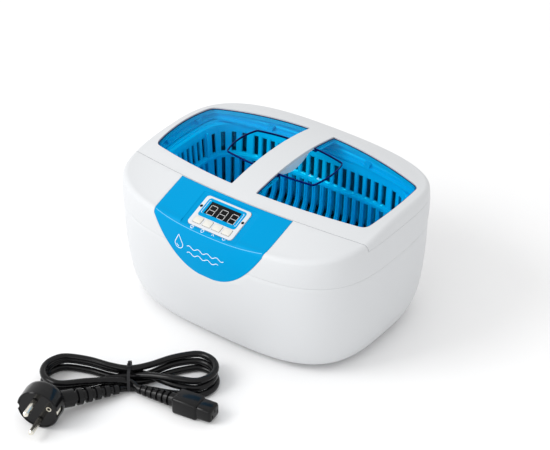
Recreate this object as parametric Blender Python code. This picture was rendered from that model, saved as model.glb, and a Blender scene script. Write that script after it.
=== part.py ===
"""Benchtop ultrasonic cleaner: two-part casing, lift-off lid, basket, steel tank, drive and mains lead.

Units are metres, +Z is up, +X is to the user's right and -Y is towards the user.
The origin is the middle of the footprint, on the surface that the rubber feet stand on.
"""
import math

import bmesh
import bpy
from mathutils import Matrix, Vector

# ---- driving dimensions -------------------------------------------------------------------------
SEGMENTS = 48              # points round each plan outline
PLAN_POWER = 3.26          # exponent of the plan outline up to the seam
FRONT_SQUARE = 0.35        # how much squarer the front corners are at the top
REAR_SQUARE = 0.75         # how much squarer the rear corners are at the top
HALF_LENGTH = 0.1318       # widest half-length of the casing, at its seam
DEPTH_CUT = 0.0331         # half-length less half-depth
BASE_Z = 0.004             # underside of the lower casing
SEAM_Z = 0.098             # seam between the lower and the upper casing
LIP_Z = 0.1226             # top of the upper casing's side wall, where the lid sits
DECK_Z = 0.118             # deck that carries the tank
WALL = 0.003               # wall thickness of the casings
LID_WALL = 0.0028          # wall thickness of the lid frame
FOOT_ROUND = 0.006         # radius of the lower casing's bottom edge
SHOULDER = 0.0045          # radius between the side wall and the top
GAP = 0.0003               # clearance between neighbouring pieces
LOWER_BULGE = 0.82         # how fast the wall draws in below the seam, per metre
UPPER_LEAN = 3.5           # how fast the wall leans in above the seam, per metre
TUCK = 0.009               # extra draw-in at the very bottom
TUCK_HEIGHT = 0.012        # height over which that draw-in fades
FRONT_FULL = 0.0024        # how much less the front and rear draw in than the ends
FRONT_FULL_HEIGHT = 0.030  # height over which that difference fades

CROWN_Z = 0.1455           # highest point of the lid
CROWN_Y = 0.0149           # the lid and the tank are set back from the casing's centre by this
CROWN_X_CURVE = 0.70       # fall of the crown along X, per metre
CROWN_Y_CURVE = 1.78       # fall of the crown along Y, per metre
LID_FRONT = -0.0575        # front seam of the lid, at the middle
LID_FRONT_CURVE = 1.09     # how that seam bows back towards the ends, per metre
SLOPE_MIDDLE = 0.40        # slope of the front deck at the middle
SLOPE_FADE = 21.8          # how it flattens towards the ends, per square metre

TANK_Y = CROWN_Y
TANK_POWER = 4.5
TANK_FLOOR_Z = 0.042

PANEL_HALF = 0.060         # half-width of the blue control panel
PANEL_TIP_Z = 0.076        # lowest point of its tongue
PANEL_THICK = 0.0015

CONTROL_X = 0.0007
CONTROL_Y = -0.0784        # middle of the control group on the slope
CONTROL_Z = 0.1267
CONTROL_TILT = math.radians(21.0)
BEZEL = (0.0484, 0.0327)
WINDOW = (0.0321, 0.0137)
WINDOW_V = 0.0048          # middle of the display, up the slope from the bezel's middle
BUTTON = (0.0081, 0.0064)
BUTTON_PITCH = 0.0104
BUTTON_V = -0.0102

RECESS = (0.060, 0.0375)   # shallow step in the panel round the bezel
RECESS_DEPTH = 0.0003

TANK_HALF = (0.1135, 0.0595)
TANK_FLANGE = (0.1190, 0.0650)
TANK_OPENING = (0.1160, 0.0620)
TANK_SHEET = 0.0010        # thickness of the tank's steel
TANK_TAPER = 0.0022        # draw-in of the tank from its rim to its foot
BASKET_SLOTS = 54
BASKET_RIM_Z = 0.1225
BASKET_FLOOR_Z = 0.0500
BASKET_WALL = 0.0020
BASKET_DEPTH_CUT = 0.0540  # half-length less half-depth of the basket

SHEET_THICK = 0.0015       # tinted sheet under the lid frame
SHEET_DEPTH = LID_WALL + 0.0008
RAISED_DEPTH = 0.0012      # depth of the sheet below the crown where it steps up into a window
WINDOW_INNER_X = 0.0130    # windows start here, on either side of the bar
WINDOW_OUTER_X = 0.1150
GRIP_HALF = 0.0258         # half-length of the keel under the bar
GRIP_DEPTH = 0.0126
GRIP_HOLE = (0.0470, 0.0217)
GRIP_HOLE_BOW = (0.0035, 0.0050)
LID_BOSS_RADIUS = 0.0030
LID_BOSS_HEIGHT = 0.0054
LID_SCREW_PLACES = [(-0.0960, -0.0400), (0.0960, -0.0400), (-0.0960, 0.0690), (0.0960, 0.0690)]

BOTTOM_EDGE = 0.016        # width of the ledge that the bottom cover lies on
LEDGE_Z = BASE_Z + 0.0025  # top of that ledge
BOARD_Y = -0.0480
BOARD_Z = 0.0140
BOARD_THICK = 0.0016
BOARD_SIZE = (0.1060, 0.0440)
STANDOFF_PLACES = [(-0.049, -0.066), (0.049, -0.066), (-0.049, -0.030), (0.049, -0.030)]
SCREW_PLACES = [(-0.086, -0.030), (0.086, -0.030), (-0.086, 0.036), (0.086, 0.036)]
FOOT_PLACES = [(-0.066, -0.044), (0.066, -0.044), (-0.066, 0.044), (0.066, 0.044)]
TRANSDUCER_X = 0.057
FAN_AT = (0.0, 0.038)
FAN_SIZE = 0.0500
FAN_HEIGHT = 0.0120
FAN_BLADES = 7
INLET = (0.026, 0.022)     # body of the mains inlet, as seen from behind
INLET_DEPTH = 0.0180
INLET_AT = (0.035, 0.0885, 0.034)
INLET_FACE_Y = 0.0928
INLET_RECESS = (0.0165, 0.0130)

LEAD_X = -0.022            # middle of the hank on the bench
LEAD_Y = -0.178
LEAD_ANGLE = math.radians(36.7)
HANK_HALF = 0.0780
HANK_WAIST = 0.0105
HANK_LOBE = 0.0235
HANK_HEIGHT = 0.0190
PLUG_AT = (-0.0690, -0.0500, 0.0190)
PLUG_RADIUS = 0.0185
PLUG_DEPTH = 0.0200
PLUG_YAW = math.radians(-18)
PLUG_RELIEF_AT = Vector((-0.0085, -0.0155, 0.0062))
PIN_SPREAD = 0.0095        # half the distance between the plug's pins
PIN_TURN = math.radians(100)
CONNECTOR_RELIEF_AT = Vector((0.0085, -0.0155, 0.0062))
CONNECTOR_AT = Vector((0.0420, -0.0330, 0.0082))


# ---- scene helpers ------------------------------------------------------------------------------
def clear_scene():
    for item in list(bpy.data.objects):
        bpy.data.objects.remove(item, do_unlink=True)


def material(name, colour, roughness, metallic=0.0, alpha=1.0):
    made = bpy.data.materials.new(name)
    made.use_nodes = True
    shader = made.node_tree.nodes["Principled BSDF"]
    shader.inputs["Base Color"].default_value = (*colour, 1.0)
    shader.inputs["Roughness"].default_value = roughness
    shader.inputs["Metallic"].default_value = metallic
    shader.inputs["Alpha"].default_value = alpha
    return made


def add_object(name, mesh, finish, matrix=None):
    item = bpy.data.objects.new(name, mesh)
    bpy.context.scene.collection.objects.link(item)
    if finish is not None:
        mesh.materials.append(finish)
    if matrix is not None:
        item.matrix_world = matrix
    return item


def add_empty(name, matrix):
    empty = bpy.data.objects.new(name, None)
    empty.empty_display_size = 0.01
    empty.matrix_world = matrix
    bpy.context.scene.collection.objects.link(empty)
    return empty


def attach(item, axis, matrix):
    """Parent a moving piece to the empty on its joint's axis, keeping the piece where it is."""
    item.parent = axis
    item.matrix_parent_inverse = matrix.inverted()


def mesh_from_bmesh(name, bm, smooth=True):
    bmesh.ops.recalc_face_normals(bm, faces=bm.faces)
    mesh = bpy.data.meshes.new(name)
    bm.to_mesh(mesh)
    bm.free()
    if smooth:
        mesh.shade_smooth()
        mesh.set_sharp_from_angle(angle=math.radians(35))
    return mesh


def as_cutter(item):
    item.hide_render = True
    item.display_type = "WIRE"
    return item


def combine(item, other, operation):
    modifier = item.modifiers.new(operation.title() + "_" + other.name, "BOOLEAN")
    modifier.operation = operation
    modifier.object = other
    modifier.solver = "EXACT"
    return item


# ---- solids -------------------------------------------------------------------------------------
def loft(name, rings, finish, closed=False, matrix=None):
    """A solid through rings of equal point counts, capped at both ends or joined into a closed loop."""
    bm = bmesh.new()
    rows = [[bm.verts.new(point) for point in ring] for ring in rings]
    pairs = list(zip(rows, rows[1:]))
    if closed:
        pairs.append((rows[-1], rows[0]))
    for low, high in pairs:
        count = len(low)
        for index in range(count):
            after = (index + 1) % count
            bm.faces.new((low[index], low[after], high[after], high[index]))
    if not closed:
        bm.faces.new(reversed(rows[0]))
        bm.faces.new(rows[-1])
    return add_object(name, mesh_from_bmesh(name, bm), finish, matrix)


def box(name, size, finish, centre=(0, 0, 0), matrix=None, bevel=0.0):
    bm = bmesh.new()
    bmesh.ops.create_cube(bm, size=1.0)
    bmesh.ops.scale(bm, vec=size, verts=bm.verts)
    bmesh.ops.translate(bm, vec=centre, verts=bm.verts)
    if bevel > 0:
        bmesh.ops.bevel(bm, geom=bm.edges[:], offset=bevel, segments=1, affect="EDGES")
    return add_object(name, mesh_from_bmesh(name, bm, False), finish, matrix)


def circle(radius, z, segments):
    step = math.tau / segments
    return [Vector((radius * math.cos(step * k), radius * math.sin(step * k), z)) for k in range(segments)]


def turned(name, profile, finish, segments=20, matrix=None):
    """A solid of revolution about local Z, from (radius, z) pairs in order."""
    rings = [circle(radius, z, segments) for radius, z in profile]
    return loft(name, rings, finish, False, matrix)


def prism(name, outline, z_low, z_high, finish=None, matrix=None):
    low = [Vector((x, y, z_low)) for x, y in outline]
    high = [Vector((x, y, z_high)) for x, y in outline]
    return loft(name, [low, high], finish, False, matrix)


def at(x, y, z):
    return Matrix.Translation((x, y, z))


# ---- plan outlines and surfaces of the casing ---------------------------------------------------
def superellipse(angle, half_x, half_y, power, centre_y=0.0):
    cosine = math.cos(angle)
    sine = math.sin(angle)
    x = half_x * math.copysign(abs(cosine) ** (2 / power), cosine)
    y = half_y * math.copysign(abs(sine) ** (2 / power), sine)
    return x, centre_y + y


ANGLES = [math.tau * k / SEGMENTS for k in range(SEGMENTS)]


def half_length(z):
    """Half-length of the casing's outer surface at height z."""
    if z >= SEAM_Z:
        return HALF_LENGTH - UPPER_LEAN * (z - SEAM_Z) ** 2
    tuck = TUCK * math.exp(-(z - BASE_Z) / TUCK_HEIGHT)
    return HALF_LENGTH - LOWER_BULGE * (SEAM_Z - z) ** 2 - tuck


def half_depth(z):
    """Half-depth of the casing's outer surface at height z."""
    return half_length(z) - DEPTH_CUT + FRONT_FULL * math.exp(-(z - BASE_Z) / FRONT_FULL_HEIGHT)


def plan_power(z, rear):
    """Exponent of the plan outline at height z, for its rear or its front half."""
    share = min(max((z - SEAM_Z) / (CROWN_Z - 0.0135 - SEAM_Z), 0.0), 1.0)
    return PLAN_POWER + share * (REAR_SQUARE if rear else FRONT_SQUARE)


def casing_point(angle, z, inset):
    power = plan_power(z, math.sin(angle) > 0)
    return superellipse(angle, half_length(z) - inset, half_depth(z) - inset, power)


def casing_ring(z, inset=0.0):
    return [Vector((*casing_point(angle, z, inset), z)) for angle in ANGLES]


def crown(x, y):
    """Height of the lid's domed top."""
    return CROWN_Z - CROWN_X_CURVE * x * x - CROWN_Y_CURVE * (y - CROWN_Y) ** 2


def lid_front(x):
    """Y of the seam between the lid and the front deck."""
    return LID_FRONT + LID_FRONT_CURVE * x * x


def front_deck(x, y):
    """Height of the sloping front deck, carried on straight behind the seam."""
    seam_y = lid_front(x)
    slope = max(SLOPE_MIDDLE - SLOPE_FADE * x * x, 0.04)
    return crown(x, seam_y) - slope * (seam_y - y)


def shoulder_rings(surface, inset):
    """Rings round the shoulder, from the top of the wall to the edge of the top surface."""
    radius = SHOULDER - inset
    rings = []
    for degrees in (0, 30, 60, 90):
        turn = math.radians(degrees)
        ring = []
        for angle in ANGLES:
            edge_x, edge_y = casing_point(angle, 0.125, SHOULDER)
            level = surface(edge_x, edge_y) - inset - radius + radius * math.sin(turn)
            x, y = casing_point(angle, level, inset + radius * (1 - math.cos(turn)))
            ring.append(Vector((x, y, level)))
        rings.append(ring)
    return rings


def domed_solid(name, surface, bottom_z, inset, finish=None):
    """The casing's outer form above bottom_z, closed by a top surface."""
    wall_top, *shoulder = shoulder_rings(surface, inset)
    bottom = casing_ring(bottom_z, inset)
    middle = []
    for low, high, angle in zip(bottom, wall_top, ANGLES):
        level = (low.z + high.z) / 2
        middle.append(Vector((*casing_point(angle, level, inset), level)))
    rings = [bottom, middle, wall_top, *shoulder]
    edge = shoulder[-1]
    for share in (0.88, 0.76, 0.64, 0.5, 0.3, 0.08):
        ring = []
        for point in edge:
            x = point.x * share
            y = point.y * share
            ring.append(Vector((x, y, surface(x, y) - inset)))
        rings.append(ring)
    return loft(name, rings, finish)


def lid_block(name, offset, z_low):
    """Block behind the lid's front seam and above z_low, used to part the lid from the casing."""
    half = 0.16
    steps = 16
    front = []
    for k in range(steps + 1):
        x = half * (2 * k / steps - 1)
        front.append((x, lid_front(x) + offset))
    return as_cutter(prism(name, [*front, (half, 0.14), (-half, 0.14)], z_low, 0.20))


def tank_ring(half_x, half_y, z, segments=SEGMENTS):
    step = math.tau / segments
    return [Vector((*superellipse(step * k, half_x, half_y, TANK_POWER, TANK_Y), z)) for k in range(segments)]


# ---- control panel skin -------------------------------------------------------------------------
def front_wall_y(x, z, inset=0.0):
    share = min(abs(x) / (half_length(z) - inset), 1.0)
    power = plan_power(z, False)
    return -(half_depth(z) - inset) * (1 - share ** power) ** (1 / power)


def panel_point(across, along):
    """Point of the casing's front surface under the panel.

    across runs from -1 to 1. along runs from 0 at the lid seam to 1 at the shoulder, on to 2 at the
    foot of the shoulder and to 3 at the tip of the tongue.
    """
    if along <= 2:
        x = PANEL_HALF * across
    if along <= 1:
        edge_y = front_wall_y(x, 0.125, SHOULDER)
        seam_y = lid_front(x) - 0.0006
        y = seam_y + (edge_y - seam_y) * along
        return Vector((x, y, front_deck(x, y)))
    if along <= 2:
        edge_z = front_deck(x, front_wall_y(x, 0.125, SHOULDER))
        turn = math.pi / 2 * (2 - along)
        z = edge_z - SHOULDER + SHOULDER * math.sin(turn)
        return Vector((x, front_wall_y(x, z, SHOULDER * (1 - math.cos(turn))), z))
    share = math.sin(math.pi / 2 * (along - 2))
    top_x = PANEL_HALF * across
    start_z = front_deck(top_x, front_wall_y(top_x, 0.125, SHOULDER)) - SHOULDER
    tip_z = PANEL_TIP_Z + 0.0004
    level = (start_z - tip_z) * (1 - share)
    width = PANEL_HALF * math.sqrt(max(level + 0.0004, 0.0004) / (start_z - tip_z + 0.0004))
    x = across * width
    z = tip_z + level
    return Vector((x, front_wall_y(x, z), z))


def panel_skin(name, inner, outer, grow, finish):
    """A skin on the casing's front from depth inner to height outer, grow wider all round."""
    columns = 14
    alongs = [0, 0.25, 0.5, 0.75, 1, 1.33, 1.67, 2, 2.12, 2.25, 2.4, 2.55, 2.7, 2.85, 3]
    points = [[panel_point(2 * c / columns - 1, along) for c in range(columns + 1)] for along in alongs]
    rows = len(points)
    bm = bmesh.new()
    layers = ([], [])
    for r in range(rows):
        for c in range(columns + 1):
            side = points[r][min(c + 1, columns)] - points[r][max(c - 1, 0)]
            down = points[min(r + 1, rows - 1)][c] - points[max(r - 1, 0)][c]
            normal = down.cross(side).normalized()
            outward = Vector((0, 0, 0))
            if grow > 0:
                if c in (0, columns):
                    outward += side.normalized() * (grow if c else -grow)
                if r in (0, rows - 1):
                    outward += down.normalized() * (grow if r else -grow)
            base = points[r][c] + outward
            layers[0].append(bm.verts.new(base + normal * outer))
            layers[1].append(bm.verts.new(base - normal * inner))
    width = columns + 1
    for r in range(rows - 1):
        for c in range(columns):
            corner = r * width + c
            quad = (corner, corner + 1, corner + width + 1, corner + width)
            bm.faces.new([layers[0][k] for k in quad])
            bm.faces.new([layers[1][k] for k in reversed(quad)])
    rim = list(range(width))
    rim += [r * width + columns for r in range(1, rows)]
    rim += [(rows - 1) * width + c for c in range(columns - 1, -1, -1)]
    rim += [r * width for r in range(rows - 2, 0, -1)]
    for start, end in zip(rim, [*rim[1:], rim[0]]):
        bm.faces.new((layers[0][start], layers[0][end], layers[1][end], layers[1][start]))
    return add_object(name, mesh_from_bmesh(name, bm), finish)


# ---- casings ------------------------------------------------------------------------------------
def make_lower_casing(finish):
    rings = lower_outside_rings(SEAM_Z - GAP)
    rings += [casing_ring(z, WALL) for z in (SEAM_Z - GAP, 0.060, 0.026, 0.012)]
    rings.append(casing_ring(LEDGE_Z, 0.009))
    rings.append(casing_ring(LEDGE_Z, BOTTOM_EDGE))
    rings.append(casing_ring(BASE_Z, BOTTOM_EDGE))
    casing = loft("lower_casing", rings, finish, closed=True)
    for k, (x, y) in enumerate(SCREW_PLACES):
        reach_x = math.copysign(0.020, x)
        boss = box(f"cut_boss_{k}", (0.046, 0.010, 0.016), None, (x + reach_x, y, 0.0171))
        combine(casing, as_cutter(boss), "UNION")
        pilot = turned(f"cut_pilot_{k}", [(0.0017, 0.0), (0.0017, 0.030)], None, 12, at(x, y, 0))
        combine(casing, as_cutter(pilot), "DIFFERENCE")
    combine(casing, as_cutter(make_boss_trim()), "INTERSECT")
    combine(casing, CUTTERS["panel_pocket"], "DIFFERENCE")
    inlet_hole = box("cut_inlet", (INLET[0] + 2 * GAP, 0.03, INLET[1] + 2 * GAP), None, INLET_AT)
    combine(casing, as_cutter(inlet_hole), "DIFFERENCE")
    return casing


def lower_outside_rings(top_z, inset=0.0):
    """Rings of the lower casing's outer surface, from its rounded foot up."""
    rings = []
    for degrees in (0, 30, 60, 90):
        turn = math.radians(degrees)
        level = BASE_Z + FOOT_ROUND * (1 - math.cos(turn))
        rings.append(casing_ring(level, FOOT_ROUND * (1 - math.sin(turn)) + inset))
    rings += [casing_ring(z, inset) for z in (0.016, 0.026, 0.040, 0.060, 0.080, top_z)]
    return rings


def make_boss_trim():
    """The casing's outer form, filled, which trims the bosses flush with the wall."""
    rings = lower_outside_rings(SEAM_Z, -0.00005)
    for point in rings[0]:
        point.z -= 0.001
    return loft("cut_boss_trim", rings, None)


def make_upper_casing(finish):
    casing = domed_solid("upper_casing", front_deck, SEAM_Z + GAP, 0.0, finish)
    combine(casing, lid_block("cut_lid_seat", 0.0, LIP_Z), "DIFFERENCE")
    cavity = as_cutter(domed_solid("cut_upper_cavity", front_deck, SEAM_Z - 0.01, WALL))
    combine(cavity, lid_block("cut_under_deck", -WALL, DECK_Z - WALL), "DIFFERENCE")
    combine(casing, cavity, "DIFFERENCE")
    pocket = as_cutter(domed_solid("cut_deck_pocket", front_deck, DECK_Z, WALL + 0.001))
    combine(pocket, lid_block("cut_deck_edge", 0.0, DECK_Z - 0.01), "INTERSECT")
    combine(casing, pocket, "DIFFERENCE")
    opening = loft("cut_tank_opening", [tank_ring(*TANK_OPENING, z) for z in (0.10, 0.13)], None)
    combine(casing, as_cutter(opening), "DIFFERENCE")
    combine(casing, CUTTERS["panel_pocket"], "DIFFERENCE")
    combine(casing, CUTTERS["control_opening"], "DIFFERENCE")
    return casing


def make_bottom_cover(finish):
    outline = [(p.x, p.y) for p in casing_ring(LEDGE_Z, BOTTOM_EDGE - 0.0035)]
    level = LEDGE_Z + GAP
    cover = prism("bottom_cover", outline, level, level + 0.002, finish)
    for k, (x, y) in enumerate(SCREW_PLACES):
        profile = [(0.0019, 0.0), (0.0019, level + 0.0025)]
        hole = turned(f"cut_cover_screw_{k}", profile, None, 12, at(x, y, 0))
        combine(cover, as_cutter(hole), "DIFFERENCE")
    for k in range(-3, 4):
        length = math.sqrt(0.054 ** 2 - (0.014 * k) ** 2)
        centre = (FAN_AT[0], FAN_AT[1] + 0.007 * k, 0.01)
        vent = box(f"cut_vent_{k + 3}", (length, 0.004, 0.02), None, centre)
        combine(cover, as_cutter(vent), "DIFFERENCE")
    for k, (x, y) in enumerate(STANDOFF_PLACES):
        profile = [(0.0025, level + 0.001), (0.0025, BOARD_Z - BOARD_THICK / 2 - GAP)]
        standoff = turned(f"cut_standoff_{k}", profile, None, 12, at(x, y, 0))
        combine(cover, as_cutter(standoff), "UNION")
    return cover


def make_feet_and_screws(rubber, steel):
    for k, (x, y) in enumerate(FOOT_PLACES):
        profile = [(0.0070, 0.0), (0.0085, 0.0010), (0.0090, LEDGE_Z)]
        turned(f"foot_{k + 1}", profile, rubber, 16, at(x, y, 0))
    for k, (x, y) in enumerate(SCREW_PLACES):
        head = [(0.0032, LEDGE_Z - 0.0020), (0.0032, LEDGE_Z)]
        profile = [*head, (0.0014, LEDGE_Z), (0.0014, 0.0200), (0.0004, 0.0212)]
        turned(f"base_screw_{k + 1}", profile, steel, 10, at(x, y, 0))


# ---- control group ------------------------------------------------------------------------------
def control_frame(u=0.0, v=0.0, w=0.0):
    """Matrix on the slope: X across, Y up the slope, Z out of the panel."""
    tilt = Matrix.Rotation(CONTROL_TILT, 4, "X")
    return at(CONTROL_X, CONTROL_Y, CONTROL_Z) @ tilt @ at(u, v, w)


def make_control_panel(finish):
    panel = panel_skin("control_panel", PANEL_THICK, 0.0, 0.0, finish)
    size = (BEZEL[0] + 2 * GAP, BEZEL[1] + 2 * GAP, 0.02)
    combine(panel, as_cutter(box("cut_bezel_hole", size, None, matrix=control_frame())), "DIFFERENCE")
    recess = box("cut_panel_recess", (*RECESS, 0.01), None, matrix=control_frame(0, 0, 0.005 + RECESS_DEPTH))
    combine(panel, as_cutter(recess), "DIFFERENCE")
    return panel


def make_bezel(finish):
    thick = 0.0030
    bezel = box("control_bezel", (*BEZEL, thick), finish, matrix=control_frame(0, 0, 0.0012 - thick / 2))
    corners = [edge for edge in bezel.data.edges if abs(edge_vector(bezel.data, edge).z) > 0.001]
    bm = bmesh.new()
    bm.from_mesh(bezel.data)
    bm.edges.ensure_lookup_table()
    chosen = [bm.edges[edge.index] for edge in corners]
    bmesh.ops.bevel(bm, geom=chosen, offset=0.003, segments=4, affect="EDGES")
    bm.to_mesh(bezel.data)
    bm.free()
    hole = (WINDOW[0] + 2 * GAP, WINDOW[1] + 2 * GAP, 0.02)
    lens_hole = box("cut_lens_hole", hole, None, matrix=control_frame(0, WINDOW_V))
    combine(bezel, as_cutter(lens_hole), "DIFFERENCE")
    for k in range(4):
        hole = (BUTTON[0] + 2 * GAP, BUTTON[1] + 2 * GAP, 0.02)
        cutter = box(f"cut_button_{k}", hole, None, matrix=control_frame(button_u(k), BUTTON_V))
        combine(bezel, as_cutter(cutter), "DIFFERENCE")
    return bezel


def edge_vector(mesh, edge):
    return mesh.vertices[edge.vertices[1]].co - mesh.vertices[edge.vertices[0]].co


def button_u(k):
    return BUTTON_PITCH * (k - 1.5)


def make_display(lens_finish, module_finish, board_finish, chip_finish):
    display_place = control_frame(0, WINDOW_V)
    board_place = control_frame(0, -0.002)
    chip_place = control_frame(0.008, 0.002)
    box("display_lens", (*WINDOW, 0.0016), lens_finish, (0, 0, 0.0002), display_place)
    box("display_module", (0.0320, 0.0130, 0.0055), module_finish, (0, 0, -0.0037), display_place)
    box("control_board", (0.0500, 0.0290, BOARD_THICK), board_finish, (0, 0, -0.0076), board_place)
    box("control_chip", (0.0080, 0.0080, 0.0016), chip_finish, (0, 0, -0.0095), chip_place)


def make_buttons(cap_finish, switch_finish):
    for k in range(4):
        axis = add_empty(f"button_axis_{k + 1}", control_frame(button_u(k), BUTTON_V))
        cap = box(f"button_{k + 1}", (*BUTTON, 0.0034), cap_finish, (0, 0, 0.0001), bevel=0.0003)
        cap.parent = axis
        box(f"button_switch_{k + 1}", (0.0060, 0.0060, 0.0034), switch_finish, (0, 0, -0.0048),
            control_frame(button_u(k), BUTTON_V))


# ---- tank and basket ----------------------------------------------------------------------------
def make_tank(finish):
    half_x, half_y = TANK_HALF
    top = DECK_Z + 0.0014 + TANK_SHEET
    low = TANK_FLOOR_Z - TANK_SHEET
    foot = TANK_TAPER
    rings = [
        tank_ring(half_x - 0.050, half_y - 0.056, low),
        tank_ring(half_x - 0.015, half_y - 0.015, low),
        tank_ring(half_x - 0.0052, half_y - 0.0052, low + 0.004),
        tank_ring(half_x - foot + TANK_SHEET, half_y - foot + TANK_SHEET, low + 0.013),
        tank_ring(half_x + TANK_SHEET, half_y + TANK_SHEET, top - TANK_SHEET),
        tank_ring(*TANK_FLANGE, top - TANK_SHEET),
        tank_ring(*TANK_FLANGE, top),
        tank_ring(half_x, half_y, top),
        tank_ring(half_x - foot, half_y - foot, TANK_FLOOR_Z + 0.012),
        tank_ring(half_x - 0.0058, half_y - 0.0058, TANK_FLOOR_Z + 0.0035),
        tank_ring(half_x - 0.015, half_y - 0.015, TANK_FLOOR_Z),
        tank_ring(half_x - 0.050, half_y - 0.056, TANK_FLOOR_Z),
    ]
    loft("tank", rings, finish)


def make_gasket(finish):
    low = DECK_Z + GAP
    high = DECK_Z + 0.0011
    rings = [tank_ring(0.1172, 0.0632, low), tank_ring(0.1195, 0.0655, low)]
    rings += [tank_ring(0.1195, 0.0655, high), tank_ring(0.1172, 0.0632, high)]
    loft("tank_gasket", rings, finish, closed=True)


def even_outline(half_x, half_y, count):
    """Points at even steps of length round the tank's plan outline."""
    fine = 960
    step = math.tau / fine
    dense = [Vector(superellipse(step * k, half_x, half_y, TANK_POWER, TANK_Y)) for k in range(fine + 1)]
    lengths = [0.0]
    for start, end in zip(dense, dense[1:]):
        lengths.append(lengths[-1] + (end - start).length)
    points = []
    seek = 0
    for k in range(count):
        target = lengths[-1] * k / count
        while lengths[seek + 1] < target:
            seek += 1
        share = (target - lengths[seek]) / (lengths[seek + 1] - lengths[seek])
        points.append(dense[seek].lerp(dense[seek + 1], share))
    return points


def make_basket(finish):
    """A moulded basket. Each row is (outer half-length, z, inner half-length, z) of its wall."""
    rim = BASKET_RIM_Z
    floor = BASKET_FLOOR_Z
    inner_floor = floor + BASKET_WALL
    rows = [
        (0.1160, rim - 0.0018, 0.1160, rim),
        (0.1105, rim - 0.0018, 0.1085, rim),
        (0.1100, 0.1110, 0.1080, 0.1110),
        (0.1088, 0.0910, 0.1068, 0.0910),
        (0.1084, 0.0850, 0.1064, 0.0850),
        (0.1070, floor + 0.012, 0.1050, floor + 0.012),
        (0.1010, floor + 0.002, 0.1000, inner_floor + 0.002),
        (0.0930, floor, 0.0930, inner_floor),
        (0.0620, floor, 0.0620, inner_floor),
    ]
    slotted = {2, 4, 5, 6}
    count = 2 * BASKET_SLOTS
    bm = bmesh.new()
    sides = []
    for half_key, z_key in ((0, 1), (2, 3)):
        side = []
        for row in rows:
            half = row[half_key]
            outline = even_outline(half, half - BASKET_DEPTH_CUT, count)
            side.append([bm.verts.new((p.x, p.y, row[z_key])) for p in outline])
        sides.append(side)
    outer, inner = sides
    for c in range(count):
        after = (c + 1) % count
        bm.faces.new((outer[0][c], outer[0][after], inner[0][after], inner[0][c]))
        for r in range(len(rows) - 1):
            if c % 2 == 0 and r in slotted:
                for i in (c, after):
                    bm.faces.new((outer[r][i], outer[r + 1][i], inner[r + 1][i], inner[r][i]))
                for edge, beyond in ((r, r - 1), (r + 1, r + 1)):
                    if beyond not in slotted:
                        corners = (outer[edge][c], outer[edge][after], inner[edge][after], inner[edge][c])
                        bm.faces.new(corners)
                continue
            for side in (outer, inner):
                bm.faces.new((side[r][c], side[r][after], side[r + 1][after], side[r + 1][c]))
    bm.faces.new(outer[-1])
    bm.faces.new(inner[-1])
    basket = add_object("basket", mesh_from_bmesh("basket", bm, False), finish)
    place = at(0, TANK_Y, BASKET_RIM_Z)
    attach(basket, add_empty("basket_lift_axis", place), place)


# ---- lid ----------------------------------------------------------------------------------------
def window_outline(side, inset=0.0):
    """Plan outline of one lid window; side is 1 for the right window and -1 for the left one."""
    steps = 6
    start = WINDOW_INNER_X + inset
    width = WINDOW_OUTER_X - 0.6 * inset - start
    points = []
    for k in range(steps + 1):
        x = start + width * k / steps
        points.append((side * x, inset - 0.0442 + 1.45 * x * x))
    for k in range(1, steps):
        y = -0.0250 + 0.0820 * k / steps
        points.append((side * (0.1185 - inset - 2.2 * (y - CROWN_Y) ** 2), y))
    for k in range(steps, -1, -1):
        x = start + (width - 0.003) * k / steps
        points.append((side * x, 0.0718 - inset - 1.2 * x * x))
    return points


def make_lid_frame(finish):
    frame = domed_solid("lid_frame", crown, LIP_Z - 0.01, 0.0, finish)
    combine(frame, lid_block("cut_lid_outside", 0.0005, LIP_Z + 0.0005), "INTERSECT")
    cavity = as_cutter(domed_solid("cut_lid_cavity", crown, LIP_Z - 0.03, LID_WALL))
    combine(cavity, lid_block("cut_lid_inside", 0.0005 + LID_WALL, LIP_Z - 0.02), "INTERSECT")
    combine(frame, cavity, "DIFFERENCE")
    for side, word in ((1, "right"), (-1, "left")):
        outline = window_outline(side)
        combine(frame, as_cutter(prism(f"cut_window_{word}", outline, 0.11, 0.16)), "DIFFERENCE")
    combine(frame, make_grip_belly(), "UNION")
    for k, (x, y) in enumerate(LID_SCREW_PLACES):
        top = lid_boss_top(x, y)
        profile = [(LID_BOSS_RADIUS, top - LID_BOSS_HEIGHT), (LID_BOSS_RADIUS, top)]
        boss = turned(f"cut_lid_boss_{k}", profile, None, 12, at(x, y, 0))
        combine(frame, as_cutter(boss), "UNION")
        profile = [(0.0012, 0.11), (0.0012, top - 0.001)]
        pilot = turned(f"cut_lid_pilot_{k}", profile, None, 8, at(x, y, 0))
        combine(frame, as_cutter(pilot), "DIFFERENCE")
    return frame


def lid_boss_top(x, y):
    """Top of a screw boss, just inside the frame's wall."""
    return crown(x, y) - LID_WALL + 0.0005


def make_grip_belly():
    """Keel under the bar that the finger and thumb pinch."""
    steps = 12
    half = WINDOW_INNER_X
    rings = []
    for k in range(steps + 1):
        share = 2 * k / steps - 1
        y = CROWN_Y + GRIP_HALF * share * 0.995
        depth = 0.0004 + (GRIP_DEPTH - LID_WALL) * (1 - share * share)
        top = crown(0, y) - LID_WALL + 0.0008
        low = crown(half, y) - LID_WALL - depth
        waist = half - 0.0014
        foot = waist - 0.001
        section = ((-waist, top), (-foot, low), (foot, low), (waist, top))
        rings.append([Vector((x, y, z)) for x, z in section])
    return as_cutter(loft("cut_grip_belly", rings, None))


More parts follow.
